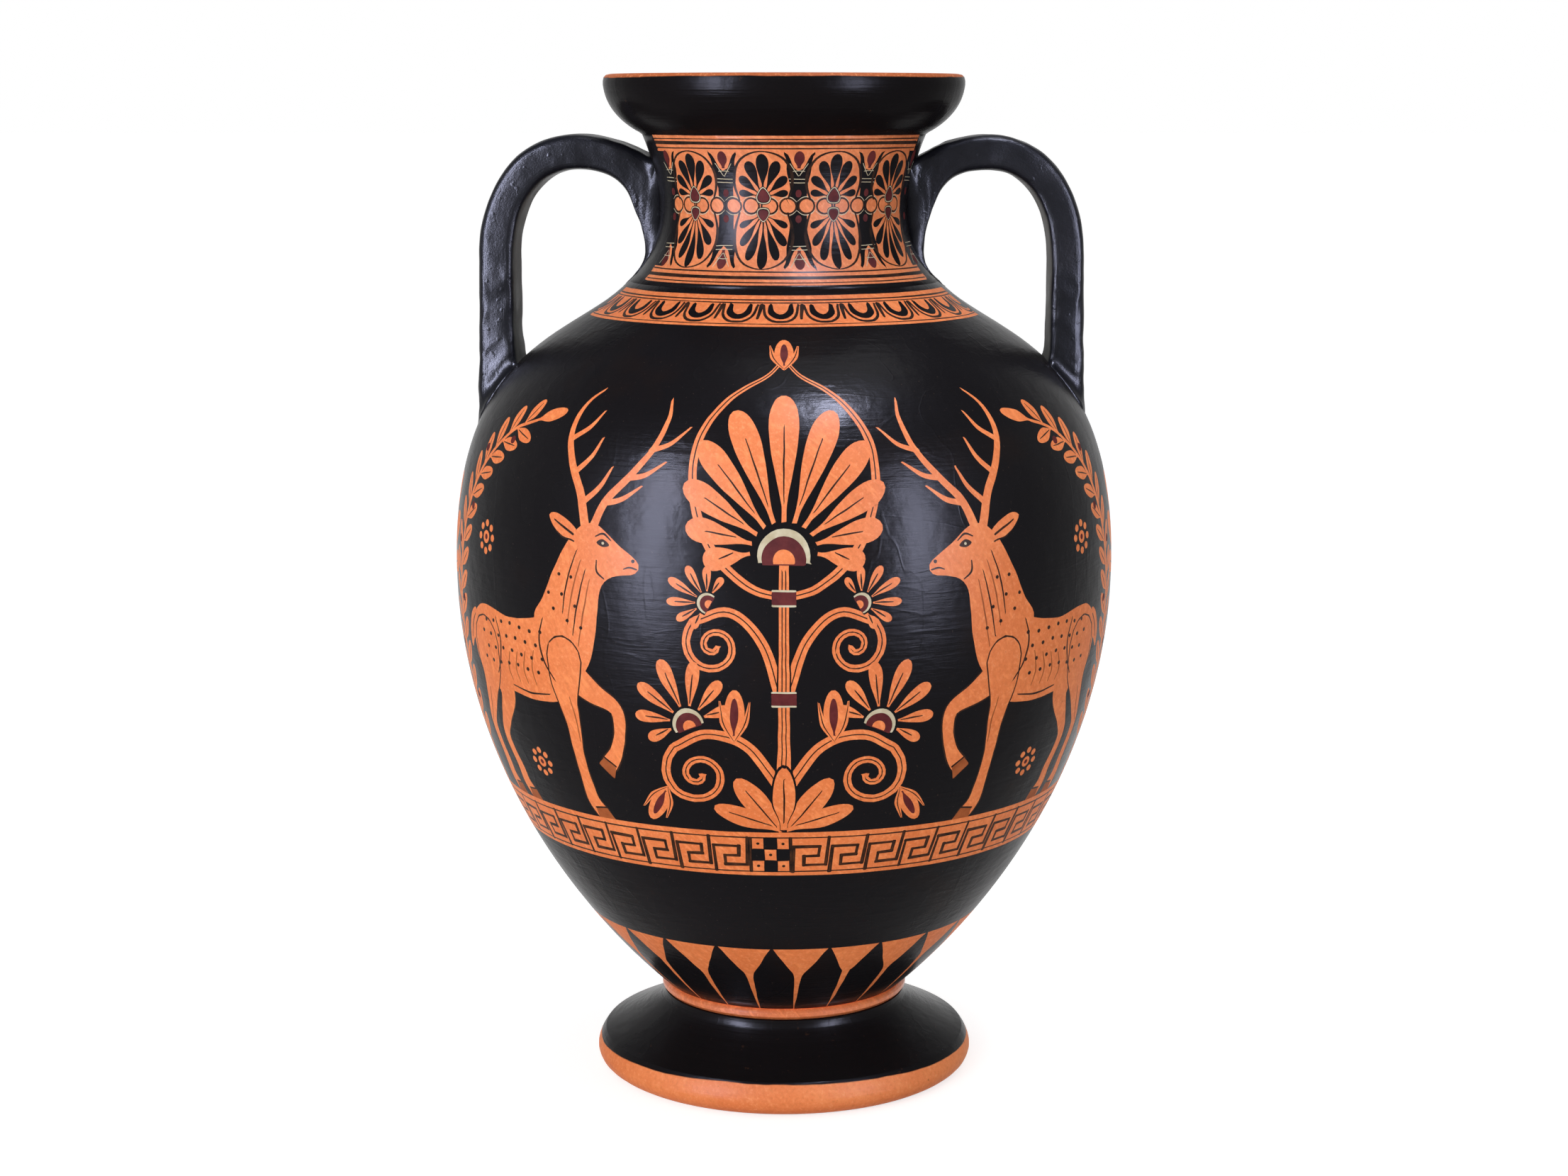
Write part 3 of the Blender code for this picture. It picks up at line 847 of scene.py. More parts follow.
def palmette_unit(art, phi, s):
    """Two palmettes heart to heart in an oval, one rising and one hanging."""
    for up, heart_at, tips, widths in (
            (1.0, 4.0, ((0.0, 18.4), (6.6, 15.2), (10.3, 8.4), (10.6, 1.8)), (5.6, 4.7, 3.9, 3.0)),
            (-1.0, 4.4, ((0.0, 23.0), (6.4, 19.0), (9.7, 12.4), (10.4, 4.4)), (4.3, 4.0, 3.6, 2.8))):
        tall = 1.0 if up > 0 else 1.17
        oval = spline([(-10.4, 2.5), (-12.5, 9.0), (-11.8, 16.0), (-7.8, 21.4), (0.0, 23.5), (7.8, 21.4),
                       (11.8, 16.0), (12.5, 9.0), (10.4, 2.5)], 0.8) * (1.0, up * tall)
        art.draw(stroke(oval, (0.8, 1.4, 1.0, 0.5, 1.0, 1.4, 0.8)), LINE, phi, s)
        for k, (tip, width) in enumerate(zip(tips, widths)):
            for flip in ((1.0,) if k == 0 else (1.0, -1.0)):
                root = (0.75 * k * flip, up * (heart_at + 1.9 - 0.55 * k))
                end = (tip[0] * flip, up * (heart_at + tip[1]))
                art.draw(petal(root, end, width, 0.76, 0.14, 2.3), SLIP, phi, s)
        heart = spline([(-1.9, 2.2), (-2.3, 4.2), (0.0, 7.2), (2.3, 4.2), (1.9, 2.2), (0.0, 1.7)], 0.5, True)
        heart *= (1.0, up) if up > 0 else (0.86, up * 0.86)
        middle = np.array([0.0, up * 4.2])
        for grow, paint in ((1.42, SLIP), (1.30, CREAM), (1.14, SLIP), (1.0, RED)):
            art.draw((heart - middle) * grow + middle, paint, phi, s)


def lotus_column(art, phi, s):
    """Black lotus column with red buds at both ends and cream lines."""
    for up, tall, ties in ((1.0, 1.0, (10.0, 11.5)), (-1.0, 1.17, (14.6, 16.0))):
        edge = [(0.0, 0.0), (3.7, 0.0), (3.5, 7.0), (4.3, 11.0), (5.4, 15.0), (5.3, 18.6), (6.2, 21.6),
                (7.6, 23.4), (6.2, 23.4), (4.4, 21.4), (3.2, 18.4), (1.9, 15.8), (0.0, 15.0)]
        half = np.array(edge) * (1.0, up * tall)
        outline = np.vstack([half, (half * (-1.0, 1.0))[::-1]])
        art.draw(resampled(outline, 0.8, True), SLIP, phi, s)
        art.draw(petal((0.0, up * 16.0 * tall), (0.0, up * 23.6 * tall), 4.6, 0.55, 0.3), RED, phi, s)
        foot = ties[1] + 1.2
        for flip in (1.0, -1.0):
            vee = [(0.2 * flip, up * foot * tall), (2.0 * flip, up * (foot + 2.6) * tall),
                   (4.0 * flip, up * (foot + 5.6) * tall)]
            art.draw(stroke(vee, (0.24, 0.34, 0.24)), CREAM, phi, s)
            rung = [(0.2 * flip, up * (foot + 2.2) * tall), (2.7 * flip, up * (foot + 2.0) * tall)]
            art.draw(stroke(rung, 0.28), CREAM, phi, s)
        for level in ties:
            bound = [(-4.1, up * level * tall), (4.1, up * (level - 0.2) * tall)]
            art.draw(stroke(bound, 0.30), CREAM, phi, s)
        art.draw(disc((0.0, up * 5.4), 1.3, 1.3), RED, phi, s)


def chain_ring(art, phi, s):
    """One ring of the chain, with a cream line waving over and under it."""
    art.draw(disc((0.0, 0.0), 3.85, 0.94), LINE, phi, s)
    art.draw(disc((0.0, 0.0), 3.05, 0.94), CLAY, phi, s)
    for flip in (1.0, -1.0):
        wave = spline([(-4.0, 2.0 * flip), (-1.6, 3.7 * flip), (1.4, 3.6 * flip), (3.8, 1.6 * flip)], 0.6)
        art.draw(stroke(wave, (0.16, 0.32, 0.32, 0.16)), CREAM, phi, s)


def paint_body():
    """The frieze and the bands of the body."""
    art = Painting(BODY, SLIP)
    for ornament in (frieze, tongues, meander, rays):
        ornament(art, BODY.down_at)
    return art


def tongues(art, at):
    """A row of hanging tongues with darts between them, front and back."""
    pitch = math.tau / 28
    mid = at(TONGUE_ROW[0])
    depth = at(TONGUE_ROW[1]) - mid
    for side in (0.0, math.pi):
        left, right = side + radians(-78.0), side + radians(78.0)
        art.band(*map(at, TONGUE_BAND), CLAY, left, right, seed=12.0 + side)
        for level, width, seed in TONGUE_LINES:
            art.line(level, width, left, right, 0.16, seed + side)
        for k in range(-6, 7):
            phi = side + k * pitch - radians(1.0)
            outer = spline([(-7.2, 0.2), (-6.4, -depth * 0.62), (-3.4, -depth * 0.95), (0.0, -depth),
                            (3.4, -depth * 0.95), (6.4, -depth * 0.62), (7.2, 0.2)], 0.6)
            art.draw(stroke(outer, (1.1, 1.3, 1.5, 1.3, 1.1)), LINE, phi, mid)
            inner = spline([(-4.2, 0.0), (-3.9, -depth * 0.40), (-1.8, -depth * 0.63), (0.0, -depth * 0.68),
                            (1.8, -depth * 0.63), (3.9, -depth * 0.40), (4.2, 0.0)], 0.6)
            art.draw(stroke(inner, (1.7, 3.1, 3.4, 3.1, 1.7)), SLIP, phi, mid)
            dart = [(8.9, 0.0), (8.8, -depth * 0.8)]
            art.draw(stroke(dart, (1.9, 1.2)), LINE, phi, mid)


def meander(art, at):
    """A running key pattern, broken by a chequered square in each quarter."""
    art.band(*map(at, MEANDER_BAND), CLAY, seed=21.0)
    for level, seed in zip(MEANDER_ROW, (22.0, 23.0)):
        art.line(level, 0.7, seed=seed)
    base = at(MEANDER_ROW[1])
    tall = base - at(MEANDER_ROW[0])
    radius = float(art.wall.radius_mm(base - tall / 2))
    square = 17.4
    quarter = math.pi / 2
    units = 11
    unit = (quarter * radius - square) / units
    key = np.array([(0.06, 0.0), (0.05, 0.74), (0.73, 0.74), (0.71, 0.47), (0.33, 0.46), (0.33, 0.19),
                    (0.91, 0.20), (0.97, 1.0)])
    line = (key - (0.5, 0.0)) * (unit, tall)
    for turn in range(4):
        centre = turn * quarter - radians(2.6)
        chequer_square(art, centre, base, square, tall)
        for k in range(units):
            phi = centre + (square / 2 + (k + 0.5) * unit) / radius
            for part, paint in ((1.0, LINE), (0.48, THIN)):
                for m, (a, b) in enumerate(zip(line, line[1:])):
                    wide = 1.58 + 0.24 * math.sin(2.1 * m + 1.3 * k + turn)
                    art.draw(bar(a, b, wide * part, 0.86), paint, phi, base, seed=k, exact=True)


def chequer_square(art, phi, base, side, tall):
    """Nine fields between two upright strokes: black ones, and bare ones with a dot."""
    for x in (-0.5 * side * 0.96, 0.5 * side * 0.96):
        for width, paint in ((1.5, LINE), (0.7, THIN)):
            art.draw(bar((x, 0.3), (x, tall - 0.3), width), paint, phi, base, exact=True)
    cell = side * 0.90 / 3
    rise = tall / 3
    over = 0.25
    for i in range(3):
        for j in range(3):
            x = (i - 1.5) * cell
            if (i + j) % 2:
                left, right = x - over, x + cell + over
                low, high = j * rise - over, (j + 1) * rise + over
                box = [(left, low), (right, low), (right, high), (left, high)]
                art.draw(resampled(box, 0.8, True), SLIP, phi, base)
            else:
                art.draw(disc((x + cell / 2, (j + 0.5) * rise), 0.75), LINE, phi, base)


def rays(art, at):
    """Pointed black petals that stand on the base, with bare clay between them."""
    top, bottom = at(RAY_TIP), art.wall.length
    art.band(top, bottom + 1.0, CLAY, seed=31.0)
    shoulder = at(RAY_SHOULDER)
    count = 23
    pitch = math.tau / count
    for k in range(count):
        phi = k * pitch - radians(3.4)
        lean = 0.03 * math.sin(k * 2.3)
        rows = [(0.0, top - 1.4), (0.055, top + 1.4),
                (0.20, (top + shoulder) / 2 - 0.3), (0.32, shoulder - 3.8),
                (0.392, shoulder - 0.8), (0.424, shoulder + 2.4), (0.438, shoulder + 6.0),
                (0.455, (shoulder + bottom) / 2 + 3.0), (0.478, bottom - 5.0), (0.488, bottom + 2.0)]
        right = [(phi + (a + lean * (s < shoulder)) * pitch, s) for a, s in rows]
        left = [(phi - (a - lean * (s < shoulder)) * pitch, s) for a, s in rows[::-1]]
        scale = (80.0, 1.0)
        sides = [spline(np.array(half) * scale, 0.9) for half in (right, left)]
        outline = np.vstack([sides[0], sides[1][:-1]])
        art.lay(wobbled(outline, 0.35, 7.0, k * 1.7) / scale, SLIP)


# Figures of the frieze
def limb(points, widths):
    """A limb of an animal: a dark contour with bare clay inside it."""
    line = spline(points, 1.0)
    wide = [w + 1.3 for w in widths]
    return [(stroke(line, wide), LINE), (stroke(line, widths), CLAY)]


def stag():
    """A stag walking to the right, one foreleg raised, its feet on the ground line."""
    out = []

    def shape(points, paint=CLAY, step=1.2):
        out.append((spline(points, step, True), paint))

    def line(points, widths, paint=LINE):
        out.append((stroke(spline(points, 0.9), widths), paint))

    def dot(x, y, radius, paint=LINE, stretch=1.0, count=16):
        out.append((disc((x, y), radius, stretch, count), paint))

    # far legs
    out.extend(limb([(-17, 60), (-12, 47), (-17.5, 36), (-21.5, 27), (-17.5, 14), (-16.8, 7), (-13.5, 1.6)],
                    (19, 14, 9.5, 6.8, 4.7, 4.6, 5.6, 7.2)))
    out.extend(limb([(31, 61), (40, 55), (49.5, 49.5), (49.5, 40), (45.5, 31), (41, 25.5)],
                    (13, 10.5, 7.4, 5.4, 4.6, 5.0, 6.6)))
    # far antler and tail
    line([(42, 119), (46, 129), (54, 139), (60, 150), (60.5, 162), (57, 171)],
         (3.6, 3.2, 2.8, 2.0, 0.7), CLAY)
    line([(45.5, 128), (53, 130), (60, 135.5)], (2.4, 2.0, 0.7), CLAY)
    line([(53, 138), (60, 139.5), (67, 145)], (2.3, 1.9, 0.7), CLAY)
    line([(59.2, 149), (66, 152), (71, 159)], (2.2, 1.8, 0.7), CLAY)
    shape([(-33, 78), (-38.5, 76), (-43, 68), (-43, 60.5), (-39.5, 64), (-35.5, 68)])
    # trunk
    shape([(20, 83), (10, 80.5), (-4, 79), (-18, 81), (-28, 80.5), (-35, 75), (-37.5, 66), (-33, 54),
           (-20, 51), (-8, 49), (6, 47.5), (20, 48.5), (31, 53), (37.5, 61), (38, 72), (30, 82)])
    # neck and head
    shape([(13, 81), (18.5, 90), (24.5, 102), (30.5, 112.5), (36, 118.5), (42, 120), (47.5, 117.5),
           (54, 112.8), (60, 109), (63, 106.3), (62.8, 103.5), (60.2, 102), (55, 101.4), (50, 99.6),
           (46.8, 95.5), (45.6, 87), (44, 77), (40, 66), (33, 60), (22, 66)])
    # near antler
    line([(38, 119), (33.5, 131), (26, 142), (20.5, 154), (21, 166), (26, 174)],
         (3.9, 3.4, 3.0, 2.2, 0.7), CLAY)
    line([(35, 127), (42, 134), (45.5, 142)], (2.5, 2.1, 0.7), CLAY)
    line([(28.5, 138.5), (34.5, 145), (37, 153)], (2.4, 2.0, 0.7), CLAY)
    line([(21.5, 151), (28.5, 156.5), (32, 164)], (2.3, 1.9, 0.7), CLAY)
    # ear
    shape([(34.5, 116.5), (30, 120), (23.5, 122.5), (19.5, 121.5), (22.5, 117.5), (28, 113.8), (33, 113)],
          step=0.8)
    line([(33, 115.2), (27.5, 117.6), (22.5, 120)], (0.9, 0.9, 0.5))
    line([(33.6, 112.6), (31.5, 113.2), (28, 113.6), (24, 116)], (0.6, 0.7, 0.4))
    # near legs
    out.extend(limb([(-25, 66), (-25, 53), (-29.5, 40), (-33.5, 29.5),
                     (-30.5, 15), (-29.8, 7.2), (-26.5, 1.6)],
                    (21, 19.5, 11.5, 7.6, 5.0, 4.9, 5.9, 7.6)))
    out.extend(limb([(27.5, 67), (26.5, 54), (27.5, 41), (26.8, 30), (26.6, 15), (26.8, 7.2), (29.5, 1.6)],
                    (17, 14.5, 9.2, 6.6, 5.0, 4.8, 5.8, 7.4)))
    # hooves
    for x, y, lean in ((-13.2, 2.2, 0.0), (-26.2, 2.2, 0.0), (29.8, 2.2, 0.0), (40.2, 24.4, -0.8)):
        hoof = rotated([(-3.4, 1.9), (2.2, 2.6), (4.6, -2.9), (-3.6, -2.9)], lean) + (x, y)
        out.append((resampled(hoof, 0.9, True), WASH))
        out.append((stroke(hoof[:2], 0.8), LINE))
    # eye, nostril, mouth and jaw
    shape([(44.2, 113.2), (47, 114.6), (50, 112.4), (47, 111.6)], LINE, 0.5)
    dot(47.1, 113.0, 0.62, CREAM)
    line([(43.4, 115.4), (47, 116.6), (50.6, 114.2)], (0.5, 0.8, 0.4))
    dot(60.6, 107.2, 0.75)
    line([(62.4, 104.2), (59.4, 104.8), (56.8, 104.0)], (0.6, 0.7, 0.4))
    line([(44.8, 106.5), (45.2, 102.2), (48.6, 99.6)], (0.5, 0.9, 0.5))
    # neck folds
    for k in range(4):
        line([(35.5 + 2.2 * k, 110 - 3.5 * k), (31 + 2.6 * k, 97 - 4 * k), (28.5 + 2.4 * k, 84 - 4 * k)],
             (0.4, 0.75, 0.4), LINE if k % 2 == 0 else WASH)
    # flank: ribs, haunch and shoulder
    line([(18, 82), (15, 73), (17, 64), (22, 57)], (0.5, 0.95, 0.6))
    line([(-14.5, 78), (-11.5, 69), (-13.5, 60), (-17, 54)], (0.5, 0.95, 0.6))
    for k in range(4):
        rib = [(11 - 5.4 * k, 68 - k), (9 - 5.4 * k, 60 - 0.6 * k), (10.5 - 5.2 * k, 53.5)]
        line(rib, (0.4, 0.7, 0.4), WASH)
    line([(-6, 51.5), (6, 50), (18, 51.2)], (0.5, 0.8, 0.5))
    line([(-34.5, 75.6), (-38, 71.5), (-41.2, 65)], (0.6, 0.8, 0.4))
    line([(-28, 47), (-31, 38), (-34.5, 30.5)], (0.4, 0.7, 0.4), WASH)
    line([(28, 52), (29.5, 42), (29, 33)], (0.4, 0.7, 0.4), WASH)
    # spots of the coat
    for i in range(9):
        for j in range(4):
            x = -29 + 6.4 * i + (3.2 if j % 2 else 0.0)
            y = 76 - 5.4 * j - 0.6 * math.sin(i * 1.3)
            if -29 < x < 17:
                dot(x, y, 0.95, LINE, 0.85, 9)
    for x, y in ((24, 86), (28.5, 92), (21.5, 92), (33, 99), (27, 99.5), (35, 88), (37.5, 80), (31, 82)):
        dot(x, y, 0.85, LINE, 0.9, 9)
    return out


def spiral(centre, radius, start, turns, hand, shrink=0.12):
    """Points of a spiral that winds inwards from a start angle."""
    t = np.linspace(0.0, 1.0, max(12, int(turns * 18)))
    angle = start + hand * t * turns * math.tau
    r = radius * (1.0 - (1.0 - shrink) * t ** 0.85)
    return np.stack([centre[0] + r * np.cos(angle), centre[1] + r * np.sin(angle)], axis=1)


def fan(origin, aim, size, petals=9, spread=100.0, heart=0.2, fall=0.36):
    """A palmette: leaves fanned out from a red heart ringed with cream."""
    out = []
    origin = np.array(origin, float)
    half = (petals - 1) / 2
    for k in sorted(range(petals), key=lambda k: -abs(k - half)):
        share = (k - half) / half
        angle = aim + radians(spread) * share
        direction = heading(angle)
        long = size * (1.0 - fall * abs(share) ** 1.3)
        root = origin + direction * size * 0.20
        bend = sideways(direction) * size * 0.07 * share
        wide = size * (0.215 if petals < 10 else 0.18) * (1.0 - 0.22 * abs(share))
        out.append((petal(root, origin + direction * long + bend, wide, 0.76, 0.16), CLAY))
        rib = [origin + direction * size * 0.30, origin + direction * long * 0.80 + bend * 0.7]
        out.append((stroke(rib, (0.35, 0.75, 0.4)), LINE))
    ahead = heading(aim)
    across = sideways(ahead)
    r = size * heart
    dome = [origin + across * r * math.cos(a) + ahead * r * 1.05 * math.sin(a)
            for a in np.linspace(-0.25, math.pi + 0.25, 15)]
    for grow, drop, paint in ((1.30, 0.0, SLIP), (1.12, 0.0, CREAM), (0.94, 0.14, RED), (0.46, 0.20, CLAY)):
        out.append((origin + (np.array(dome) - origin) * grow - ahead * r * drop, paint))
    return out


def bud(root, tip, width):
    """A closed lotus bud with two outer leaves."""
    root, tip = np.array([root, tip], float)
    axis = tip - root
    across = sideways(axis) / np.linalg.norm(axis)
    out = [(petal(root, tip, width, 0.5, 0.2), CLAY),
           (petal(root + axis * 0.12, root + axis * 0.84, width * 0.42, 0.5, 0.2), RED)]
    for side in (across * width, -across * width):
        leaf = spline([root, root + axis * 0.35 + side * 0.52, root + axis * 0.78 + side * 0.72], 0.8)
        out.append((stroke(leaf, (1.0, 2.6, 0.7)), CLAY))
        out.append((stroke(leaf, (0.2, 0.5, 0.2)), LINE))
    return out


def tendril(points, curl, widths):
    """A stem that ends in a spiral, with a dark line along it."""
    line = np.vstack([spline(points, 1.0), curl])
    edge = [w + 1.4 for w in widths]
    return [(stroke(line, edge), SLIP), (stroke(line, widths), CLAY), (stroke(line, 0.5), LINE)]


def foot_leaf(tall, width, thin, rib, rib_widths):
    """The upright leaf in front of a stem: dark round its edge, with a rib along it."""
    return [(petal((0, 0.5), (0, tall), width, 0.5, 0.3), SLIP),
            (petal((0, 0.8), (0, tall - 1.5), thin, 0.5, 0.3), CLAY),
            (stroke([(0, y) for y in rib], rib_widths), LINE)]


def mirrored(shapes):
    """Shapes of a motif with their mirror images after them."""
    return shapes + [(p * (-1.0, 1.0), paint) for p, paint in shapes]


def tie(level, width):
    """A red band with cream edges that binds a stem."""
    half = width / 2
    band = [(-half, -3), (half, -3), (half + 0.8, 0), (half, 3), (-half, 3), (-half - 0.8, 0)]
    out = [(spline(np.array(band) + (0, level), 0.8, True), RED)]
    for edge in (level - 3.0, level + 3.0):
        out.append((stroke([(-half - 0.6, edge), (half + 0.6, edge)], 0.8), CREAM))
    return out


def tree():
    """A flowering tree: volutes, side palmettes and a great palmette in a pointed frame."""
    out = []
    # side scrolls
    low = tendril([(1.5, 22), (15, 41), (32, 46), (46, 39)],
                  spiral((35.5, 27), 15.8, 0.85, 1.6, -1.0), (5.0, 4.3, 3.5, 2.6))
    high = tendril([(1.0, 62), (9, 86), (22, 98), (37, 94)],
                   spiral((28.5, 84), 13.0, 0.86, 1.55, -1.0), (4.6, 3.9, 3.2, 2.4))
    line = spline([(0.5, 104), (15, 109), (30, 124), (37, 146),
                   (34.5, 168), (22, 187), (7, 199), (0.6, 208)], 1.0)
    arch = [(stroke(line, (3.0, 4.2, 3.6, 2.6, 1.4)), CLAY), (stroke(line, 0.5), LINE)]
    out += mirrored(low + high + arch)
    out += mirrored(fan((39.5, 50.0), radians(66), 30.0, 7, 84.0))
    out += mirrored(fan((31.0, 101.5), radians(30), 19.0, 7, 84.0))
    out += mirrored(bud((20.5, 43.0), (20.0, 66.0), 8.5))
    out += mirrored(bud((49.0, 20.0), (57.0, 3.0), 8.0))
    # stem
    stem = [(0, 4), (0, 40), (0, 80), (0, 118)]
    out += [(stroke(stem, (9.0, 6.5, 5.4, 5.0)), SLIP), (stroke(stem, (7.4, 5.0, 4.2, 3.8)), CLAY)]
    for x in (-1.0, 1.0):
        out.append((stroke([(0.9 * x, 6), (0.7 * x, 116)], 0.45), LINE))
    out += tie(62, 8.4) + tie(104, 8.0)
    # leaves at the foot
    for x, y, w in ((29, 12, 9.0), (20, 26, 10.5)):
        rib = [(3, 2.6), (x * 0.8, y * 0.8)]
        out += mirrored([(petal((1.0, 1.0), (x, y), w, 0.55, 0.3), CLAY),
                         (stroke(rib, (0.4, 0.7, 0.4)), LINE)])
    out += foot_leaf(33, 11.0, 9.4, (4, 26), (0.5, 0.8, 0.4))
    # crown
    out += fan((0, 121), radians(90), 68.0, 11, 86.0, 0.14, 0.52)
    out += bud((0, 203), (0, 222), 8.0)
    return out


def side_ornament():
    """Two palmettes back to back with a volute on either side, for the space under a handle."""
    curl = spiral((17.5, 78.2), 7.0, math.pi / 2, 1.4, -1.0)
    out = mirrored(tendril([(3, 81), (9, 84.4), (17.5, 85.2)], curl, (4.2, 3.6, 2.9, 2.2)))
    out += fan((0, 89), radians(90), 60.0, 7, 63.0, 0.14, 0.38)
    out += fan((0, 73), radians(-90), 50.0, 7, 49.0, 0.16, 0.40)
    out += tie(81, 8.4)
    # leaves at the foot
    out += mirrored([(petal((1.0, 1.0), (15, 9.5), 6.4, 0.55, 0.3), CLAY)])
    return out + foot_leaf(18.5, 8.2, 6.8, (3, 13), (0.4, 0.7, 0.4))


def laurel():
    """A slender laurel branch with paired leaves and berries, rising and bending to the right."""
    out = []
    line = spline([(-49, 1), (-54, 30), (-56, 66), (-51, 100), (-38, 130), (-18, 150), (-2, 157)], 1.0)
    out.append((stroke(line, (3.4, 2.6, 2.0, 1.2)), CLAY))
    steps = resampled(line, 11.0)
    for k in range(2, len(steps) - 1):
        ahead = steps[k + 1] - steps[k]
        ahead = ahead / np.linalg.norm(ahead)
        side = sideways(ahead)
        long = 14.8 - 0.12 * k
        for hand in (1.0, -1.0):
            root = steps[k] + side * hand * 0.6 + ahead * (2.5 if hand > 0 else -2.5)
            tip = root + ahead * long * 0.80 + side * hand * long * 0.60
            out.append((petal(root, tip, 5.4, 0.50, 0.12), CLAY))
            rib = [root + (tip - root) * 0.12, root + (tip - root) * 0.86]
            out.append((stroke(rib, (0.35, 0.6, 0.3)), LINE))
        if k > 2 and k % 2 == 0:
            berry = steps[k] + side * 5.0 * (1.0 if k % 4 else -1.0) - ahead * 4.0
            out.append((disc(berry, 1.7), RED))
    tip = steps[-1]
    ahead = steps[-1] - steps[-2]
    out.append((petal(tip, tip + ahead / np.linalg.norm(ahead) * 16.0, 5.4, 0.5, 0.2), CLAY))
    return out


def rosette(centre, size):
    """Eight dots round a larger one."""
    out = [(disc(centre, size * 0.34), CLAY), (disc(centre, size * 0.15), RED)]
    for k in range(8):
        out.append((disc(centre + size * 0.72 * heading(k * math.tau / 8), size * 0.20, 1.0, 10), CLAY))
    return out


def frieze(art, at):
    """Front and back: a flowering tree between two stags; a double palmette under each handle."""
    ground = at(MEANDER_BAND[0]) - 0.4
    beast = laurel() + stag() + rosette((2, 20), 7.0) + rosette((-22, 108), 7.5)
    for side in (0.0, math.pi):
        art.draw_all(tree(), side, ground, seed=side)
        for flip in (1.0, -1.0):
            art.draw_all(beast, side - flip * radians(50.6), ground, 1.09, flip, seed=flip)
        art.draw_all(side_ornament(), side + math.pi / 2, ground, seed=side)


# Sections of the turned pieces
FILM = 0.0003
SHOULDER_LAP = 0.003
FOOT_TRIM = 0.0022
FOOT_TRIM_HEIGHT = 0.006
FOOT_TRIM_REACH = 0.012
FOOT_EDGE_REACH = 0.006
EDGE_SOFTENING = (0.3, 0.16)


def reseated(path, seats):
    """A section with some of its heights moved, as a table of old and new heights says."""
    return [(r, seats.get(z, z)) for r, z in path]


def neck_closing():
    """Section of the neck from its foot round the inside to its top, seated on the collar."""
    rest = other_points("neck", neck_run)
    if rest[0][1] > rest[-1][1]:
        rest = rest[::-1]
    return reseated(rest, {rest[0][1]: collar[1]})


def body_closing():
    """Inside of the body from the collar to the floor, and its base from the wall to the axis."""
    lap = shoulder_points[-1][1] + SHOULDER_LAP
    inner = other_points("shoulder", shoulder_run)
    if inner[0] != collar:
        inner = inner[::-1]
    inner = [p for p in inner if p[1] > lap]
    path = PATHS["belly"][0]
    if path[0][1] > path[-1][1]:
        path = path[::-1]
    base_end = path.index(belly_points[-1])
    tongue = max(range(len(path)), key=lambda i: (path[i][1], -path[i][0]))
    bowl = path[tongue + 1:]
    floor = (0.0, bowl[-1][1])
    base = path[:base_end + 1][::-1]
    return [inner + bowl + [floor], base + [(0.0, base[-1][1])]]


def mouth_section():
    """The mouth, seated on the top of the neck."""
    path = PATHS["mouth"][0]
    return reseated(path, {min(z for _, z in path): neck_points[0][1]})


def fillet_section():
    """The fillet, grown by the film above and below it."""
    path = PATHS["foot_fillet"][0]
    low, high = min(z for _, z in path), max(z for _, z in path)
    return reseated(path, {low: low - FILM, high: high + FILM})


def foot_section():
    """The foot, trimmed towards its resting ring, with its upper edge softened."""
    reach = max(r for r, _ in PATHS["foot"][0])
    path = []
    for r, z in PATHS["foot"][0]:
        under = max(0.0, 1.0 - z / FOOT_TRIM_HEIGHT) if r > reach - FOOT_TRIM_REACH else 0.0
        path.append((r - FOOT_TRIM * under, z))
    corner = next(i for i, (r, _) in enumerate(path) if r > reach - FOOT_EDGE_REACH
                  and turn_angle(*path[i - 1:i + 2]) > CORNER_ANGLE)
    before, edge, after = (np.array(p) for p in path[corner - 1:corner + 2])
    softer = [edge + (p - edge) * share for p, share in zip((before, after), EDGE_SOFTENING)]
    path[corner:corner + 1] = [tuple(p) for p in softer]
    return path + [(0.0, path[-1][1])]


NECK_PAINTS = [CLAY_NECK_PAINTED_SHADE] + WALL_PAINTS[1:]
painted_piece("painted_neck", ["neck"], paint_neck(), [neck_closing()], NECK_PAINTS, SLIP)
painted_piece("painted_body", ["shoulder", "belly"], paint_body(), body_closing(), WALL_PAINTS, CLAY)
turned_piece("turned_mouth", ["mouth"], mouth_section(), True, MOUTH_SLIP_WITH_PAINTED_SHADE)
turned_piece("clay_fillet", ["foot_fillet"], fillet_section(), True, CLAY_FILLET)
turned_piece("turned_foot", ["foot"], foot_section(), False, FOOT_SLIP_WITH_PAINTED_LIGHT)


# Handles
STRAP_THICKNESS = 0.0155
STRAP_WIDTH = 0.0260
STRAP_SPREAD = 0.0024
STRAP_FLARE = 0.0050
STRAP_SECTION = 72
STRAP_SPANS = 58
STRAP_SQUARENESS = 0.38
ROOT_TAPER = 0.55
ROOT_FILLET = 0.0045
ROOT_DEPTH = 0.004
ROOT_REACH = 0.02
LEG_DROP = 0.056
ROOT_DROP = 0.012
TAIL_TOP = 0.396
TAIL_REACH = 0.012
TAIL_SINK = 0.0004
CREASE_TOP = 0.385
CREASE_RUN = 0.03
CREASE_SHARE = 0.6
CREASE_WIDTH = 0.30
CREASE_DEPTH = 0.0026
LEFT_AZIMUTH = radians(176.0)
LEFT_LEAN = 0.0029


def bezier(a, b, c, d):
    """Points along a curve with two ends and two handles."""
    t = np.linspace(0.0, 1.0, STRAP_SPANS)[:, None]
    a, b, c, d = (np.array(v, float) for v in (a, b, c, d))
    return a * (1 - t) ** 3 + 3 * b * t * (1 - t) ** 2 + 3 * c * t ** 2 * (1 - t) + d * t ** 3


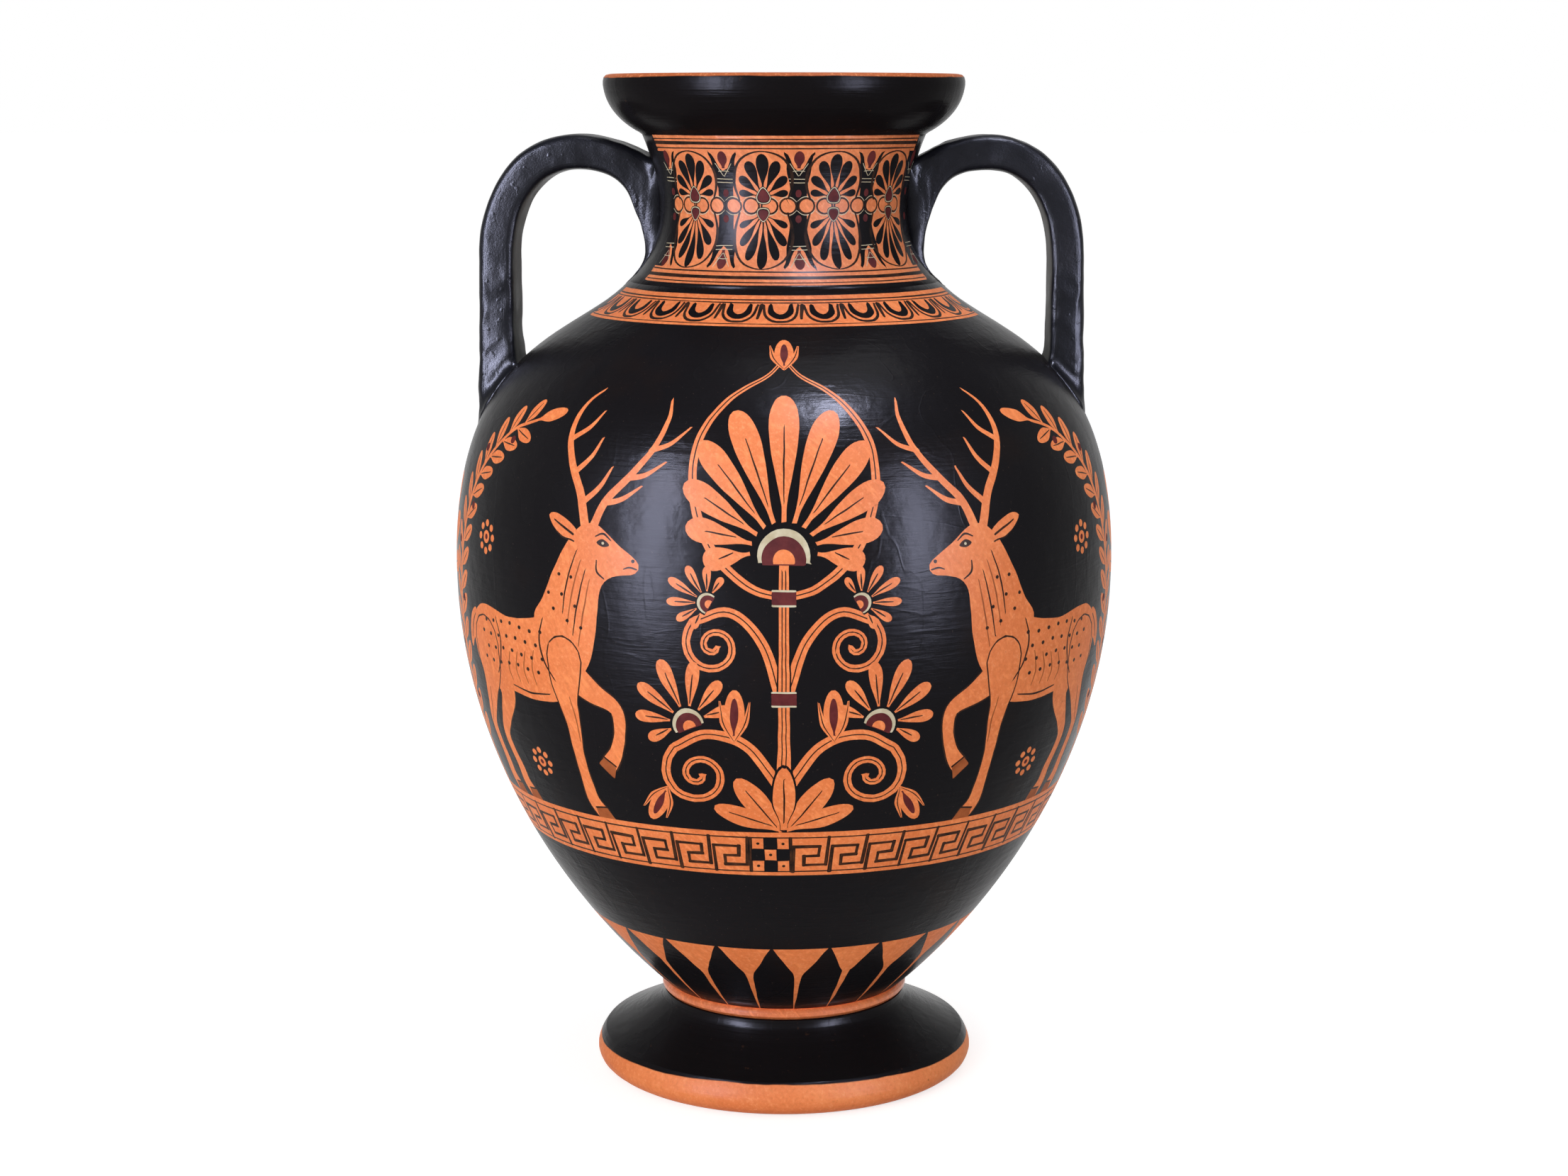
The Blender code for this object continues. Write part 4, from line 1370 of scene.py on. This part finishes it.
def strap_contours(lean):
    """Outer and inner edge of a handle in its own plane, as matching (x, z) points."""
    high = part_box("handle_right")[1]
    spread = STRAP_SPREAD
    below = STRAP_THICKNESS / 2
    neck_top = NECK.r[0]
    waist = float(NECK.r.min())
    leg_outer = high[0] - spread + lean
    leg_inner = leg_outer - STRAP_THICKNESS - 0.4 * lean
    crown_x = (neck_top + leg_inner) / 2
    crown = high[2]
    under = crown - STRAP_THICKNESS
    leg_top = crown - LEG_DROP
    root_top = crown - ROOT_DROP
    root_rise = collar[1] + 0.40 * (under - collar[1])
    upper = BODY.s <= BODY.s[int(np.argmax(BODY.r))]
    land_outer, land_inner = (float(np.interp(x, BODY.r[upper], BODY.z[upper]))
                              for x in (leg_outer + spread, leg_inner))
    outer = [((waist, root_top), (neck_top, root_top + 0.006), (crown_x - 0.0124, crown), (crown_x, crown)),
             ((crown_x, crown), (crown_x + 0.575 * (leg_outer - crown_x), crown),
              (leg_outer, leg_top + 0.0347), (leg_outer, leg_top)),
             ((leg_outer, leg_top), (leg_outer, (leg_top + land_outer) / 2),
              (leg_outer + spread / 2, land_outer), (leg_outer + spread, land_outer - below))]
    inner = [(collar, (waist + 0.0102, root_rise), (waist + 0.0022, under), (crown_x, under)),
             ((crown_x, under), (crown_x + 0.62 * (leg_inner - crown_x), under),
              (leg_inner, leg_top + 0.62 * (under - leg_top)), (leg_inner, leg_top)),
             ((leg_inner, leg_top), (leg_inner, (leg_top + land_inner) / 2),
              (leg_inner, land_inner), (leg_inner - spread, land_inner - below))]
    return [np.vstack([bezier(*curve)[k > 0:] for k, curve in enumerate(edge)]) for edge in (outer, inner)]


def wall_clearance(points):
    """Distance of points from the outside of neck and body, and that wall's normals."""
    radius = np.hypot(points[:, 0], points[:, 1])
    phi = np.arctan2(points[:, 0], -points[:, 1])
    best = np.full(len(points), 1.0)
    normals = np.zeros_like(points)
    for wall in (NECK, BODY):
        s = np.interp(-points[:, 2], -wall.z, wall.s)
        gap = (radius - np.interp(s, wall.s, wall.r)) * np.maximum(np.interp(s, wall.s, wall.nr), 0.25)
        inside_span = (points[:, 2] <= wall.z[0] + 1e-6) & (points[:, 2] >= wall.z[-1])
        nearer = inside_span & (gap < best)
        best = np.where(nearer, gap, best)
        normals[nearer] = wall.normal(phi, s)[nearer]
    return best, normals


def strap_rings(outer, inner):
    """Rings of the strap, the first one sunk in the neck, and for each vertex of them three marks:
    its run along the strap, its way round it, and whether it lies on the inner side.
    """
    angle = np.linspace(0.0, math.tau, STRAP_SECTION, endpoint=False)
    across, along = (np.copysign(np.abs(wave) ** STRAP_SQUARENESS, wave)
                     for wave in (np.cos(angle), np.sin(angle)))
    run = run_lengths((outer + inner) / 2)
    last = STRAP_SPANS - 1
    rings = []
    marks = []
    for i, (far, near) in enumerate(zip(outer, inner)):
        near_neck = max(0.0, 1.0 - i / last)
        near_shoulder = max(0.0, 1.0 - (len(outer) - 1 - i) / last)
        width = STRAP_WIDTH + STRAP_FLARE * near_shoulder ** 2
        narrowing = 1.0 - ROOT_TAPER * near_neck * (1.0 - across) / 2
        flat = (far + near) / 2 + across[:, None] * ((far - near) / 2)
        rings.append(np.stack([flat[:, 0], along * narrowing * width / 2, flat[:, 1]], axis=1))
        inside = np.clip((-across - 0.86) / 0.10, 0.0, 1.0) * min(1.0, max(0.0, i / STRAP_SPANS - 1.15) * 3.0)
        around = angle / math.tau * 2 * (width + STRAP_THICKNESS)
        marks.append(np.stack([np.full(STRAP_SECTION, run[i]), around, inside], axis=1))
    buried = rings[0].copy()
    depth = np.interp(-buried[:, 2], -NECK.z, NECK.r) - ROOT_DEPTH
    buried[:, 0] = np.sqrt(np.maximum(depth ** 2 - buried[:, 1] ** 2, 0.0))
    return np.vstack([buried, *rings]), np.vstack([marks[0], *marks])


def hand_worked(place, facing, seed):
    """Vertices of a strap with its tail pressed to the neck, its roots filled and its skin uneven."""
    gap, wall_normal = wall_clearance(place)
    beside_neck = place[:, 0] < NECK.r[0] + TAIL_REACH
    on_tail = beside_neck & (place[:, 2] < TAIL_TOP) & (gap > 0.0)
    fade = np.clip((place[:, 2] - collar[1]) / (TAIL_TOP - collar[1]), 0.0, 1.0)
    sink = np.where(on_tail, (gap + TAIL_SINK) * (1.0 - fade * fade * (3.0 - 2.0 * fade)), 0.0)
    place = place - wall_normal * sink[:, None]
    gap = gap - sink
    t = np.clip(1.0 - gap / ROOT_FILLET, 0.0, 1.0)
    flare = ROOT_FILLET * (1.0 - np.sqrt(1.0 - t ** 2))
    flare *= np.clip(1.0 - np.abs((facing * wall_normal).sum(axis=1)) * 1.3, 0.0, 1.0)
    lumps = np.array([noise.noise(Vector(p) * 75.0 + Vector((seed, 0, 0))) for p in place])
    dents = np.array([noise.noise(Vector(p) * 190.0 + Vector((0, seed, 0))) for p in place])
    crease = np.array([abs(noise.noise(Vector((p[0] * 170, p[1] * 170, p[2] * 80 + seed)))) for p in place])
    near_root = np.clip(1.0 - gap / ROOT_REACH, 0.0, 1.0)
    leg = place[:, 0] > NECK.r[0] + TAIL_REACH
    low_leg = np.clip((CREASE_TOP - place[:, 2]) / CREASE_RUN, 0.0, 1.0) * leg * CREASE_SHARE
    proud = flare + lumps * (0.00040 + 0.00045 * near_root) + dents * (0.00010 + 0.00022 * near_root)
    folds = low_leg * np.clip(CREASE_WIDTH - crease, 0.0, CREASE_WIDTH) * CREASE_DEPTH
    proud += folds * np.abs(facing[:, 1]) ** 3
    return place + facing * proud[:, None]


def strap_handle(name, node, azimuth, seed, lean):
    """A strap handle with hand marks, built in its own plane and turned to its azimuth."""
    vertices, marks = strap_rings(*strap_contours(lean))
    rings = np.arange(len(vertices)).reshape(-1, STRAP_SECTION).tolist()
    faces = ring_faces(rings) + [rings[0], rings[-1][::-1]]
    item = add_object(name, vertices, faces, [SLIP_HANDLE])
    mesh = item.data
    mesh.attributes.new("strap", "FLOAT_VECTOR", "POINT").data.foreach_set("vector", marks.ravel())
    weld(item)
    facing = np.array([v.normal[:] for v in mesh.vertices])
    place = hand_worked(vertex_places(mesh), facing, seed)
    mesh.vertices.foreach_set("co", rotated(place, azimuth).ravel())
    mesh.update()
    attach(item, "root")
    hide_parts(node)


strap_handle("strap_handle_right", "handle_right", 0.0, 3.0, 0.0)
strap_handle("strap_handle_left", "handle_left", LEFT_AZIMUTH, 8.0, LEFT_LEAN)


# Stage
WORLD_LIGHT = 0.50
FLOOR_GLOW = 0.71
FLOOR_REACH = 40.0
WHITE = (1.0, 1.0, 1.0)
WINDOW_TINT = (0.72, 0.75, 1.0)
CEILING = (0.16, 0.18, 0.24)
CEILING_START, CEILING_END = 0.35, 0.75
LAMPS = (
    ("overhead softbox", (0.25, 0.05, 1.75), (0.0, 0.0, 0.25), (0.9, 0.9), 12.0, "BOTH"),
    ("front softbox", (-0.85, -2.0, 0.75), (0.0, 0.0, 0.2), (1.2, 1.2), 27.0, "DIFFUSE"),
    ("left window", (-0.722, -0.784, 0.45), (-0.06, -0.05, 0.26), (0.24, 0.90), 126.0, "GLOSSY"),
    ("right window", (0.735, -0.765, 0.42), (0.06, -0.05, 0.26), (0.22, 0.70), 62.0, "GLOSSY"),
    ("shoulder sheen", (0.316, -0.58, 1.606), (0.018, -0.12, 0.319), (0.20, 0.18), 130.0, "GLOSSY"))


def seen_rays(n, strength):
    """A strength for rays that show the background: camera, glossy and transmission rays."""
    path = n.add("ShaderNodeLightPath").outputs
    seen = n.maths("MAXIMUM", path["Is Camera Ray"], path["Is Glossy Ray"])
    return n.maths("MULTIPLY", n.maths("MAXIMUM", seen, path["Is Transmission Ray"]), strength)


def lay_floor():
    """A pale floor that glows to the white of the backdrop."""
    n = material_nodes("pale floor")
    n.set(Base_Color=(0.60, 0.60, 0.60), Roughness=1.0, Specular_IOR_Level=0.0, Emission_Color=WHITE,
          Emission_Strength=seen_rays(n, FLOOR_GLOW))
    corners = [(-FLOOR_REACH, -FLOOR_REACH, 0), (FLOOR_REACH, -FLOOR_REACH, 0),
               (FLOOR_REACH, FLOOR_REACH, 0), (-FLOOR_REACH, FLOOR_REACH, 0)]
    mesh = bpy.data.meshes.new("floor")
    mesh.from_pydata(corners, [], [(0, 1, 2, 3)])
    mesh.materials.append(n.owner)
    floor = link_object("floor", mesh)


def hang_lamp(name, place, aim, size, power, rays):
    """An area lamp seen by diffuse rays, glossy rays or both."""
    data = bpy.data.lights.new(name, "AREA")
    data.shape = "RECTANGLE"
    data.size, data.size_y = size
    data.energy = power
    data.color = WINDOW_TINT if rays == "GLOSSY" else WHITE
    light = link_object(name, data)
    light.location = place
    light.rotation_euler = (Vector(aim) - Vector(place)).to_track_quat("-Z", "Y").to_euler()
    light.visible_glossy = rays != "DIFFUSE"
    light.visible_diffuse = rays != "GLOSSY"
    light.visible_camera = False


def light_world():
    """White round the horizon and darker overhead, with a softer even light for diffuse rays."""
    world = bpy.data.worlds.new("studio")
    bpy.context.scene.world = world
    n = Nodes(world)
    even = n.tree.nodes["Background"]
    n.feed(even.inputs["Color"], WHITE)
    n.feed(even.inputs["Strength"], WORLD_LIGHT)
    height = n.split(n.coordinates["Generated"])["Z"]
    dusk = n.ramp(height, (CEILING_START, WHITE), (CEILING_END, CEILING))
    backdrop = n.add("ShaderNodeBackground", {"Color": dusk, "Strength": 1.0})
    shaders = {0: seen_rays(n, 1.0), 1: even.outputs[0], 2: backdrop.outputs[0]}
    mixer = n.add("ShaderNodeMixShader", shaders)
    n.feed(n.tree.nodes["World Output"].inputs["Surface"], mixer.outputs[0])


def set_camera():
    """The camera of the photograph."""
    data = bpy.data.cameras.new("camera")
    data.lens = CAMERA_LENS
    data.sensor_width = SENSOR_WIDTH
    data.sensor_fit = "HORIZONTAL"
    item = link_object("camera", data)
    item.location = (0.0, -CAMERA_DISTANCE, CAMERA_HEIGHT)
    item.rotation_euler = (math.pi / 2 - CAMERA_PITCH, 0.0, 0.0)
    bpy.context.scene.camera = item


lay_floor()
for lamp in LAMPS:
    hang_lamp(*lamp)
light_world()
set_camera()
bpy.context.scene.view_settings.view_transform = "Standard"
